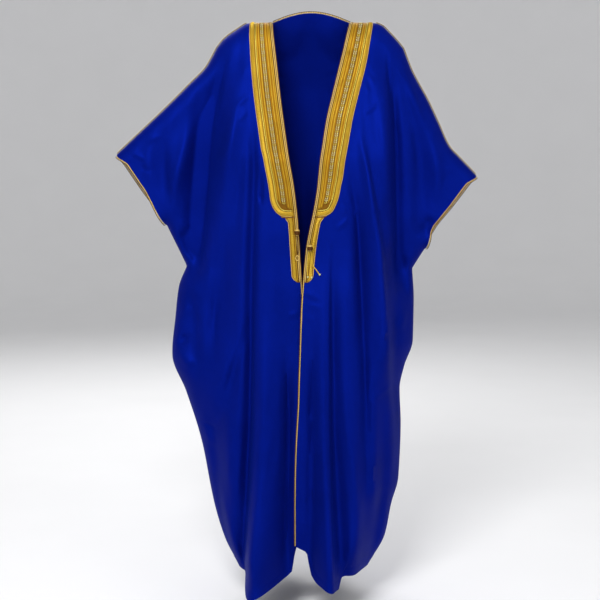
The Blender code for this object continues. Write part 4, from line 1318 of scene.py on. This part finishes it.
def lower_band(side, word, trim):
    """The narrow band that goes on below a wide one."""
    work = Work(f"lower_band_{word}", band_finishes(trim))
    drops = stations(WIDE_BAND_END + BAND_SEAM, NARROW_BAND_END, 0.002)[:, None]
    widths = lower_wide(drops) * np.linspace(0.0, 1.0, 8)
    widths, drops = np.broadcast_arrays(widths, drops)
    lay_ground(work, on_front(side, drops, widths), (widths, drops))
    for lane in BAND_LANES[:INNER_LANES]:
        t = stations(WIDE_BAND_END - BAND_SEAM, NARROW_BAND_END - 0.001,
                     CORD_STEP if lane.twisted else LANE_STEP)
        lay_cord(work, on_front(side, t, lane.at), BAND_TOP + 0.4 * lane.radius, lane.radius,
                 lane.finish, twisted=lane.twisted)
    t = stations(WIDE_BAND_END + 0.002, NARROW_BAND_END - 0.002, CORD_STEP)
    lay_cord(work, on_front(side, t, lower_wide(t) - LOWER_CORD_IN), BAND_TOP, LOWER_CORD, PALE)
    t = stations(WIDE_BAND_END + 0.003, NARROW_BAND_END - 0.002, RIB_PITCH)[:, None]
    across = INNER_CORDS + (lower_wide(t) - LOWER_RIB_END - INNER_CORDS) * np.linspace(0.03, 1, 6)
    lay_stitches(work, on_front(side, *np.broadcast_arrays(t, across)),
                 BAND_TOP + 0.3 * trim.rib, trim.rib, LIGHT)
    return work.piece("gold_band")


# ---------------------------------------------------------------- cords


def pair_work(name, trim):
    """A piece in the making with two finishes, pale and brown."""
    return Work(name, band_finishes(trim)[PALE:])


def cord_pair(work, surface, out):
    """A pale cord against the cloth's edge and a brown one outside it; out is 1 or -1."""
    lay_cord(work, surface, 0.0, PALE_CORD, 0, out * PALE_ASIDE)
    lay_cord(work, surface, 0.0, BROWN_CORD, 1, out * BROWN_ASIDE)


def edge_cord(side, word, trim):
    """The pair of cords down a front edge, from the neck to the hem."""
    work = pair_work(f"edge_cord_{word}", trim)
    drops = stations(0.001, HEM_DROP - 0.001, CORD_STEP)
    cord_pair(work, on_front(side, drops, 0.0), side.sign)
    return work.piece("brown_cord")


def neck_cord(trim):
    """The same pair round the back of the neck, from one edge cord to the other."""
    work = pair_work("neck_cord", trim)
    reach = BACK_COLUMNS[0].neck * (NECK_SHARES[-1] - 0.012)
    x = stations(-reach, reach, CORD_STEP)
    cord_pair(work, on_both_backs(0.0, np.abs(x), x), 1.0)
    return work.piece("brown_cord")


def shoulder_cord(side, word, trim):
    """The pale cord over a shoulder seam, with a thin brown one before it."""
    work = pair_work(f"shoulder_cord_{word}", trim)
    start = front_widths(side, 0.0)[BAND_EDGE_COLUMN + 2]
    over = stations(start, float(row_length(side, 0.0)), CORD_STEP)
    down = stations(0.0, side.tip, CORD_STEP)[1:-1]
    line = np.concatenate((front_point(side, np.zeros(len(over)), over),
                           front_point(side, down, row_length(side, down))))
    line[:, 1] = 0.0
    along = directions(line)
    out = side.sign * np.cross(along, (0.0, 1.0, 0.0))
    lay_cord(work, (line, out), SHOULDER_PALE + LAY_GAP, SHOULDER_PALE, 0)
    before = line + np.array((0.0, -SHOULDER_PALE - SHOULDER_BROWN, 0.0))
    lay_cord(work, (before, out), SHOULDER_BROWN + LAY_GAP, SHOULDER_BROWN, 1)
    return work.piece("gold_cord")


def cuff_cord(side, word, lip, trim):
    """The pair of cords on one lip of a sleeve's open end."""
    work = pair_work(f"cuff_cord_{word}_{lip}", trim)
    drops = stations(side.tip, side.cuff_end, CORD_STEP)
    front = on_front(side, drops, row_length(side, drops))
    back = on_back(side, drops, side.at("outer_x", drops))
    open_here = np.linalg.norm(front[0] - back[0], axis=-1) > CUFF_CLEAR
    points, normal = (grid[open_here] for grid in (front if lip == "front" else back))
    out = -side.sign if lip == "front" else side.sign
    cord_pair(work, (points, normal), out)
    return work.piece("gold_cord")


# ---------------------------------------------------------------- beads and ties


def bead_place(side, drop, across):
    """Centre of a tie's bead: clear of the cord and the band below it."""
    spot = front_point(side, np.array(drop), np.array(across))
    clear = BEAD_OFF + max(BAND_WALL + LAY_GAP, EDGE_CORD_RADIUS) + BEAD_RADIUS
    return spot - np.array((0.0, clear, 0.0))


def lay_rings(work, centre, rings, finish, thread):
    """Thread wound round an upright axis: each ring is its height and its radius."""
    heights, radii = np.array(rings).T
    turn = np.linspace(0.0, 2.0 * math.pi, RING_SIDES + 1)
    out = np.stack((np.cos(turn), np.sin(turn), 0.0 * turn), axis=-1)
    centres = (np.asarray(centre) + radii[:, None, None] * out
               + heights[:, None, None] * np.array((0.0, 0.0, 1.0)))
    across = np.broadcast_to(out, centres.shape)
    up = np.broadcast_to((0.0, 0.0, 1.0), centres.shape)
    work.threads(centres, across, up, thread, finish, sides=5)


def bead_rings(first, last, count, radius, half, off):
    """Rings of thread over a bead's round form, from one height to another."""
    return [(z, radius * math.sqrt(1.0 - (z / half) ** 2) + off)
            for z in np.linspace(first, last, count)]


def bead(word, centre, trim):
    """A bead wound from brown thread, with a pale cap above it and a pale collar below."""
    work = pair_work(f"tie_bead_{word}", trim)
    core = bmesh.ops.create_uvsphere(work.bm, u_segments=16, v_segments=10, radius=1.0)["verts"]
    bmesh.ops.scale(work.bm, verts=core, vec=(*BEAD_CORE, BEAD_LENGTH / 2 - BEAD_SHORT))
    bmesh.ops.translate(work.bm, verts=core, vec=centre)
    for face in dict.fromkeys(face for vert in core for face in vert.link_faces):
        face.material_index = 1
    lay_rings(work, centre, bead_rings(*BEAD_BODY), 1, BODY_THREAD)
    lay_rings(work, centre, bead_rings(*BEAD_CAP) + BEAD_COLLAR, 0, CAP_THREAD)
    return work.piece("brown_cord")


def tie_path(side, centre, points):
    """Centre line of a hanging tie, just off the cloth and band behind it."""
    rows = []
    for point in points:
        x = centre[0] + point.left
        z = centre[2] - point.down
        width = side.sign * x - float(side.at("inner_x", -z))
        surface = front_point(side, np.array(-z), np.array(max(width, 0.0)))[1]
        lift = BAND_WALL + 2 * LAY_GAP + TIE_OFF + TIE_CORD_RADIUS
        rows.append((x, float(surface) - lift - point.off, z))
    rows = np.array(rows)
    along = lengths_along(rows)
    at = np.linspace(0.0, along[-1], TIE_FINE_STEPS)
    return np.stack([flowing(along, rows[:, axis], at) for axis in range(3)], axis=-1)


def path_length(path):
    return float(np.linalg.norm(np.diff(path, axis=0), axis=-1).sum())


def tie(name, path, finishes, slot, with_pieces=()):
    """A limp twisted tie that hangs from a bead, and ends in a knot when with_pieces is empty."""
    work = Work(name, finishes)
    front = np.broadcast_to((0.0, -1.0, 0.0), path.shape)
    centres, across, up = laid(path, front, 0.0)
    radius = TIE_CORD_RADIUS * 1.04 * closing(len(path))
    work.threads(centres[None], across[None], up[None], radius[None], 0, sides=9,
                 wind=TIE_WIND, groove=TIE_GROOVE)
    if not with_pieces:
        lay_rings(work, path[-1], KNOT, 1, KNOT_THREAD)
    thing = work.piece(slot)
    return thing


def tie_loop(top, trim):
    """The small braided loop at the end of the right tie, that goes over the other bead."""
    work = Work("tie_loop_right", band_finishes(trim)[PALE:BROWN])
    centre = top - np.array((0.0, 2 * TIE_OFF,
                             LOOP_STRETCH * (LOOP_RADIUS + TIE_CORD_RADIUS) + LAY_GAP))
    turn = np.linspace(0.0, 2.0 * math.pi, 61)
    out = np.stack((np.cos(turn), 0.0 * turn, np.sin(turn)), axis=-1)
    stretch = np.array((1.0, 1.0, LOOP_STRETCH))
    centres = centre + LOOP_RADIUS * out * stretch
    up = np.broadcast_to((0.0, -1.0, 0.0), out.shape)
    length = path_length(centres)
    work.threads(centres[None], unit(out * stretch[::-1])[None], up[None], TIE_CORD_RADIUS,
                 sides=9, wind=round(length * TIE_WIND) / length, groove=TIE_GROOVE)
    return work.piece("gold_cord")


# ---------------------------------------------------------------- finishes


class Value:
    """A node's output in sums: each operation adds its Math node."""

    def __init__(self, finish, socket):
        self.finish = finish
        self.socket = socket

    def math(self, operation, *others):
        values = dict(enumerate((self, *others)))
        return self.finish.node("ShaderNodeMath", {"operation": operation}, values)

    def __add__(self, other):
        return self.math("ADD", other)

    __radd__ = __add__

    def __sub__(self, other):
        return self.math("SUBTRACT", other)

    def __mul__(self, other):
        return self.math("MULTIPLY", other)

    __rmul__ = __mul__

    def sine(self):
        return self.math("SINE")

    def size(self):
        return self.math("ABSOLUTE")


class Finish:
    """A material in the making."""

    def __init__(self, name):
        self.material = bpy.data.materials.new(name)
        self.material.use_nodes = True
        self.tree = self.material.node_tree
        self.tree.nodes.clear()

    def node(self, kind, settings=None, inputs=None, output=0):
        """A node with its settings made first, then its sockets; its output as a Value."""
        made = self.tree.nodes.new(kind)
        for name, value in (settings or {}).items():
            setattr(made, name, value)
        for name, value in (inputs or {}).items():
            if isinstance(value, Value):
                self.tree.links.new(value.socket, made.inputs[name])
            else:
                made.inputs[name].default_value = value
        return Value(self, made.outputs[output])

    def parts(self, vector):
        """The three numbers of a vector."""
        made = self.node("ShaderNodeSeparateXYZ", inputs={0: vector}).socket.node
        return [Value(self, socket) for socket in made.outputs]

    def noise(self, vector, scale, detail=2.0):
        return self.node("ShaderNodeTexNoise", inputs={
            "Vector": vector, "Scale": scale, "Detail": detail, "Roughness": 0.5})

    def mix(self, factor, one, other):
        """One colour where the factor is 0, the other where it is 1."""
        return self.node("ShaderNodeMix", {"data_type": "RGBA"},
                         {0: factor, 6: one, 7: other}, output=2)

    def done(self, inputs, height, bump):
        """Close the material: a principled surface with a bump from this height."""
        if height is not None:
            inputs["Normal"] = self.node("ShaderNodeBump", inputs={
                "Strength": bump, "Distance": 0.001, "Height": height})
        shader = self.node("ShaderNodeBsdfPrincipled", inputs=inputs)
        made = self.tree.nodes.new("ShaderNodeOutputMaterial")
        self.tree.links.new(shader.socket, made.inputs["Surface"])
        return self.material


def shade(colour, share):
    """A colour made darker or lighter, as a socket takes it."""
    return (*(min(1.0, part * share) for part in colour[:3]), 1.0)


def cloth_finish(cloth):
    """Deep blue cloth with a soft satin face: fine weave, slubs, and slightly uneven dye."""
    if "blue_cloth_weave" in bpy.data.materials:
        return bpy.data.materials["blue_cloth_weave"]
    finish = Finish("blue_cloth_weave")
    flat = finish.node("ShaderNodeUVMap", {"uv_map": CLOTH_MAP})
    across, down, _ = finish.parts(flat)
    weave = ((across * (2 * math.pi / cloth.weave)).sine()
             * (down * (2 * math.pi / cloth.weave)).sine())
    stretched = finish.node("ShaderNodeMapping", inputs={
        "Vector": flat, "Scale": (900.0, 120.0, 1.0)})
    slub = finish.noise(stretched, 1.0)
    place = finish.node("ShaderNodeTexCoord", output="Object")
    dye = finish.noise(place, 7.0, 3.0)
    worn = finish.noise(place, 38.0, 2.0)
    tone = dye * 0.6 + slub * 0.3 + worn * 0.1
    colour = finish.mix(tone, shade(cloth.colour, 0.62), shade(cloth.colour, 1.38))
    return finish.done(
        {"Base Color": colour, "Roughness": 0.42 + dye * 0.10 + slub * 0.10,
         "Metallic": 0.3, "Specular IOR Level": 0.02, "Specular Tint": (0.01, 0.06, 0.6, 1.0),
         "Sheen Weight": 0.02, "Sheen Roughness": 0.5, "Sheen Tint": (0.05, 0.16, 1.0, 1.0)},
        weave * 0.5 + slub * 0.8 + worn * 0.5, cloth.bump)


def thread_finish(name, colour, metal, rough):
    """Gold or silk thread: fibres along it, painted shade between the strands, slightly uneven."""
    if name in bpy.data.materials:
        return bpy.data.materials[name]
    finish = Finish(name)
    flat = finish.node("ShaderNodeUVMap", {"uv_map": CLOTH_MAP})
    around, along, _ = finish.parts(flat)
    # painted shade: the strand mask darkens the colour in the grooves where twisted strands part;
    # on plain threads it darkens two sides along them
    strand = (around * (2 * math.pi)).math("COSINE").size()
    fibre = (around * (16 * math.pi) + along * 5200.0).sine()
    place = finish.node("ShaderNodeTexCoord", output="Object")
    patch = finish.noise(place, 26.0)
    fleck = finish.noise(place, 900.0)
    tone = strand * 0.35 + patch * 0.35 + fleck * 0.3 + fibre * 0.06
    groove_shade_and_tone_colour = finish.mix(tone, shade(colour, 0.30), shade(colour, 1.38))
    return finish.done(
        {"Base Color": groove_shade_and_tone_colour, "Metallic": metal, "Roughness": rough + fleck * 0.14 - 0.07,
         "Specular IOR Level": 0.12},
        fibre * 0.25 + fleck * 0.6, 0.25)


# ---------------------------------------------------------------- settings


def colour_setting(name, description, default):
    """A colour that the panel shows."""
    return FloatVectorProperty(name=name, description=description, subtype="COLOR", size=3,
                               default=default, min=0.0, max=1.0)


class RobeCloth(bpy.types.PropertyGroup):
    """The cloth's colour and weave."""
    colour: colour_setting(
        "Cloth", "Colour of the blue cloth", (0.0013, 0.0082, 0.190))
    weave: FloatProperty(
        name="Weave", description="Distance from one thread of the cloth to the next but one",
        default=0.0009, min=0.0002, max=0.01, unit="LENGTH", precision=5)
    bump: FloatProperty(
        name="Relief", description="How strongly the weave and its slubs stand out",
        default=0.12, min=0.0, max=1.0, subtype="FACTOR")
    wall: FloatProperty(
        name="Thickness", description="Thickness of the cloth shell",
        default=0.0012, min=0.0003, max=CLOTH_WALL, unit="LENGTH", precision=5)


class RobeTrim(bpy.types.PropertyGroup):
    """The colours of the bands, cords and ties, and the size of the satin stitches."""
    ground: colour_setting(
        "Ground", "Colour of the band's woven ground", (0.17, 0.075, 0.003))
    light: colour_setting(
        "Light gold", "Colour of the satin stitches at the outer border", (0.78, 0.485, 0.045))
    amber: colour_setting(
        "Amber", "Colour of the laid threads in the band's middle", (0.48, 0.235, 0.009))
    bright: colour_setting(
        "Bright gold", "Colour of the cord before the outer border", (0.92, 0.64, 0.11))
    silver: colour_setting(
        "Silver", "Colour of the braid's silvery stitches", (0.95, 0.78, 0.36))
    pale: colour_setting(
        "Pale cord", "Colour of the pale gold cords", (0.74, 0.50, 0.14))
    brown: colour_setting(
        "Brown cord", "Colour of the copper-brown cords", (0.100, 0.036, 0.005))
    rib: FloatProperty(
        name="Satin stitch", description="Radius of the satin stitches of the outer border",
        default=0.00095, min=0.0003, max=0.002, unit="LENGTH", precision=5)


class RobeStage(bpy.types.PropertyGroup):
    """The floor and the studio light."""
    floor: colour_setting(
        "Floor", "Colour of the floor and the backdrop", (0.90, 0.90, 0.91))
    key: FloatProperty(
        name="Key light", description="Power of the large light at the front",
        default=100.0, min=0.0, max=1000.0, unit="POWER")
    fill: FloatProperty(
        name="Fill light", description="Power of the light from the other side",
        default=14.0, min=0.0, max=1000.0, unit="POWER")
    sky: FloatProperty(
        name="Surround", description="Strength of the white light all round",
        default=0.45, min=0.0, max=5.0)


# ---------------------------------------------------------------- operators


class ROBE_OT_cloth(bpy.types.Operator):
    """Drape the three panels of blue cloth"""
    bl_idname = "robe.cloth"
    bl_label = "Cloth"

    def execute(self, context):
        cloth = context.scene.robe_cloth
        for name, panel in (("back_panel", back_panel()), ("front_right", front_panel(RIGHT)),
                            ("front_left", front_panel(LEFT))):
            work = Work(name, [cloth_finish(cloth)])
            work.wall(panel.points, panel.points - panel.normals * cloth.wall, panel.places)
            work.piece("blue_cloth")
        return {"FINISHED"}


class ROBE_OT_bands(bpy.types.Operator):
    """Sew the gold bands down the open neck and round the back of it"""
    bl_idname = "robe.bands"
    bl_label = "Gold bands"

    def execute(self, context):
        trim = context.scene.robe_trim
        for side, word in SIDES:
            lapel_band(side, word, trim)
            lower_band(side, word, trim)
        neck_band(trim)
        return {"FINISHED"}


class ROBE_OT_cords(bpy.types.Operator):
    """Lay the twisted cords along the edges, the neck, the shoulders and the cuffs"""
    bl_idname = "robe.cords"
    bl_label = "Cords"

    def execute(self, context):
        trim = context.scene.robe_trim
        for side, word in SIDES:
            edge_cord(side, word, trim)
            shoulder_cord(side, word, trim)
            cuff_cord(side, word, "front", trim)
            cuff_cord(side, word, "back", trim)
        neck_cord(trim)
        return {"FINISHED"}


class ROBE_OT_ties(bpy.types.Operator):
    """Hang the ties from their beads"""
    bl_idname = "robe.ties"
    bl_label = "Beads and ties"

    def execute(self, context):
        trim = context.scene.robe_trim
        right = bead_place(RIGHT, RIGHT_BEAD_DROP, 0.0)
        left = bead_place(LEFT, LEFT_BEAD_DROP, LEFT_BEAD_ACROSS)
        bead("right", right, trim)
        bead("left", left, trim)
        finishes = band_finishes(trim)
        brown = [finishes[BROWN]]
        gold = [finishes[LIGHT], finishes[SILVER]]
        path = tie_path(RIGHT, right, RIGHT_TIE)
        tie("tie_cord_right", path, brown, "brown_cord", [tie_loop(path[-1], trim)])
        for number, points in enumerate(LEFT_TIES, start=1):
            tie(f"tie_cord_left_{number}", tie_path(LEFT, left, points), gold, "gold_cord")
        return {"FINISHED"}


class ROBE_OT_declare(bpy.types.Operator):
    """An empty step: it changes nothing"""
    bl_idname = "robe.declare"
    bl_label = "Cut sizes"

    def execute(self, context):
        return {"FINISHED"}


class ROBE_OT_stage(bpy.types.Operator):
    """Set the pale floor, the soft lights and the camera"""
    bl_idname = "robe.stage"
    bl_label = "Stage"

    def execute(self, context):
        stage = context.scene.robe_stage
        lay_floor(stage)
        light("key", KEY_AT, 1.1, stage.key)
        light("fill", FILL_AT, 2.0, stage.fill)
        light("back", BACK_AT, 2.2, BACK_SHARE * stage.fill)
        world = bpy.data.worlds.new("surround")
        world.use_nodes = True
        ground = world.node_tree.nodes["Background"]
        ground.inputs["Color"].default_value = (1.0, 1.0, 1.0, 1.0)
        ground.inputs["Strength"].default_value = stage.sky
        context.scene.world = world
        context.scene.view_settings.view_transform = "Standard"
        eye = bpy.data.cameras.new("camera")
        eye.lens = LENS_MM
        eye.sensor_width = 36.0
        eye.clip_end = 60.0
        camera = bpy.data.objects.new("camera", eye)
        camera.location = CAMERA_AT
        camera.rotation_euler = (math.radians(90.0 - CAMERA_DOWN), 0.0, 0.0)
        context.scene.collection.objects.link(camera)
        context.scene.camera = camera
        return {"FINISHED"}


def lay_floor(stage):
    """A round pale floor that rises all round in one soft curve, so every side has it."""
    bm = bmesh.new()
    bmesh.ops.create_grid(bm, x_segments=FLOOR_STEPS, y_segments=1, size=0.5)
    bmesh.ops.delete(bm, geom=[vert for vert in bm.verts if vert.co.y > 0.0], context="VERTS")
    for vert in bm.verts:
        along = (vert.co.x + 0.5) * FLOOR_REACH
        arc = min(max(along - FLOOR_FLAT, 0.0), FLOOR_BEND * math.pi / 2)
        rise = max(along - FLOOR_FLAT - FLOOR_BEND * math.pi / 2, 0.0)
        x = min(along, FLOOR_FLAT) + FLOOR_BEND * math.sin(arc / FLOOR_BEND)
        vert.co = (x, 0.0, FLOOR_Z + FLOOR_BEND * (1.0 - math.cos(arc / FLOOR_BEND)) + rise)
    bmesh.ops.spin(bm, geom=bm.verts[:] + bm.edges[:], cent=(0, 0, 0), axis=(0, 0, 1),
                   angle=2 * math.pi, steps=96, use_merge=True)
    bmesh.ops.remove_doubles(bm, verts=bm.verts[:], dist=1e-5)
    bmesh.ops.recalc_face_normals(bm, faces=bm.faces[:])
    mesh = bpy.data.meshes.new("floor")
    bm.to_mesh(mesh)
    bm.free()
    mesh.shade_smooth()
    finish = Finish("floor")
    place = finish.node("ShaderNodeTexCoord", output="Object")
    grain = finish.noise(place, 3.0)
    mesh.materials.append(finish.done(
        {"Base Color": finish.mix(grain, shade(stage.floor, 0.98), shade(stage.floor, 1.02)),
         "Roughness": 0.9}, None, 0.0))
    floor = bpy.data.objects.new("floor", mesh)
    bpy.context.scene.collection.objects.link(floor)


def light(name, place, size, power):
    """A large soft light that faces the middle of the robe."""
    lamp = bpy.data.lights.new(name, "AREA")
    lamp.shape = "SQUARE"
    lamp.size = size
    lamp.energy = power
    thing = bpy.data.objects.new(name, lamp)
    thing.location = place
    thing.rotation_euler = (Vector(LIT) - Vector(place)).to_track_quat("-Z", "Y").to_euler()
    bpy.context.scene.collection.objects.link(thing)


class ROBE_PT_panel(bpy.types.Panel):
    """The robe's steps and settings"""
    bl_idname = "ROBE_PT_panel"
    bl_label = "Robe"
    bl_space_type = "VIEW_3D"
    bl_region_type = "UI"
    bl_category = "Robe"

    def draw(self, context):
        layout = self.layout
        for group in ("robe_cloth", "robe_trim", "robe_stage"):
            settings = getattr(context.scene, group)
            box = layout.box()
            for name in settings.bl_rna.properties.keys():
                if name not in ("rna_type", "name"):
                    box.prop(settings, name)
        for step in STEPS:
            layout.operator(step.bl_idname)


GROUPS = {"robe_cloth": RobeCloth, "robe_trim": RobeTrim, "robe_stage": RobeStage}
STEPS = (ROBE_OT_stage, ROBE_OT_ties, ROBE_OT_cloth, ROBE_OT_bands, ROBE_OT_cords,
         ROBE_OT_declare)


def register():
    for group in (*GROUPS.values(), *STEPS, ROBE_PT_panel):
        bpy.utils.register_class(group)
    for name, group in GROUPS.items():
        setattr(bpy.types.Scene, name, PointerProperty(type=group))


def unregister():
    for name in GROUPS:
        delattr(bpy.types.Scene, name)
    for group in (ROBE_PT_panel, *reversed(STEPS), *reversed(GROUPS.values())):
        bpy.utils.unregister_class(group)


def main():
    register()
    for step in STEPS:
        family, name = step.bl_idname.split(".")
        getattr(getattr(bpy.ops, family), name)()


if __name__ == "__main__":
    main()
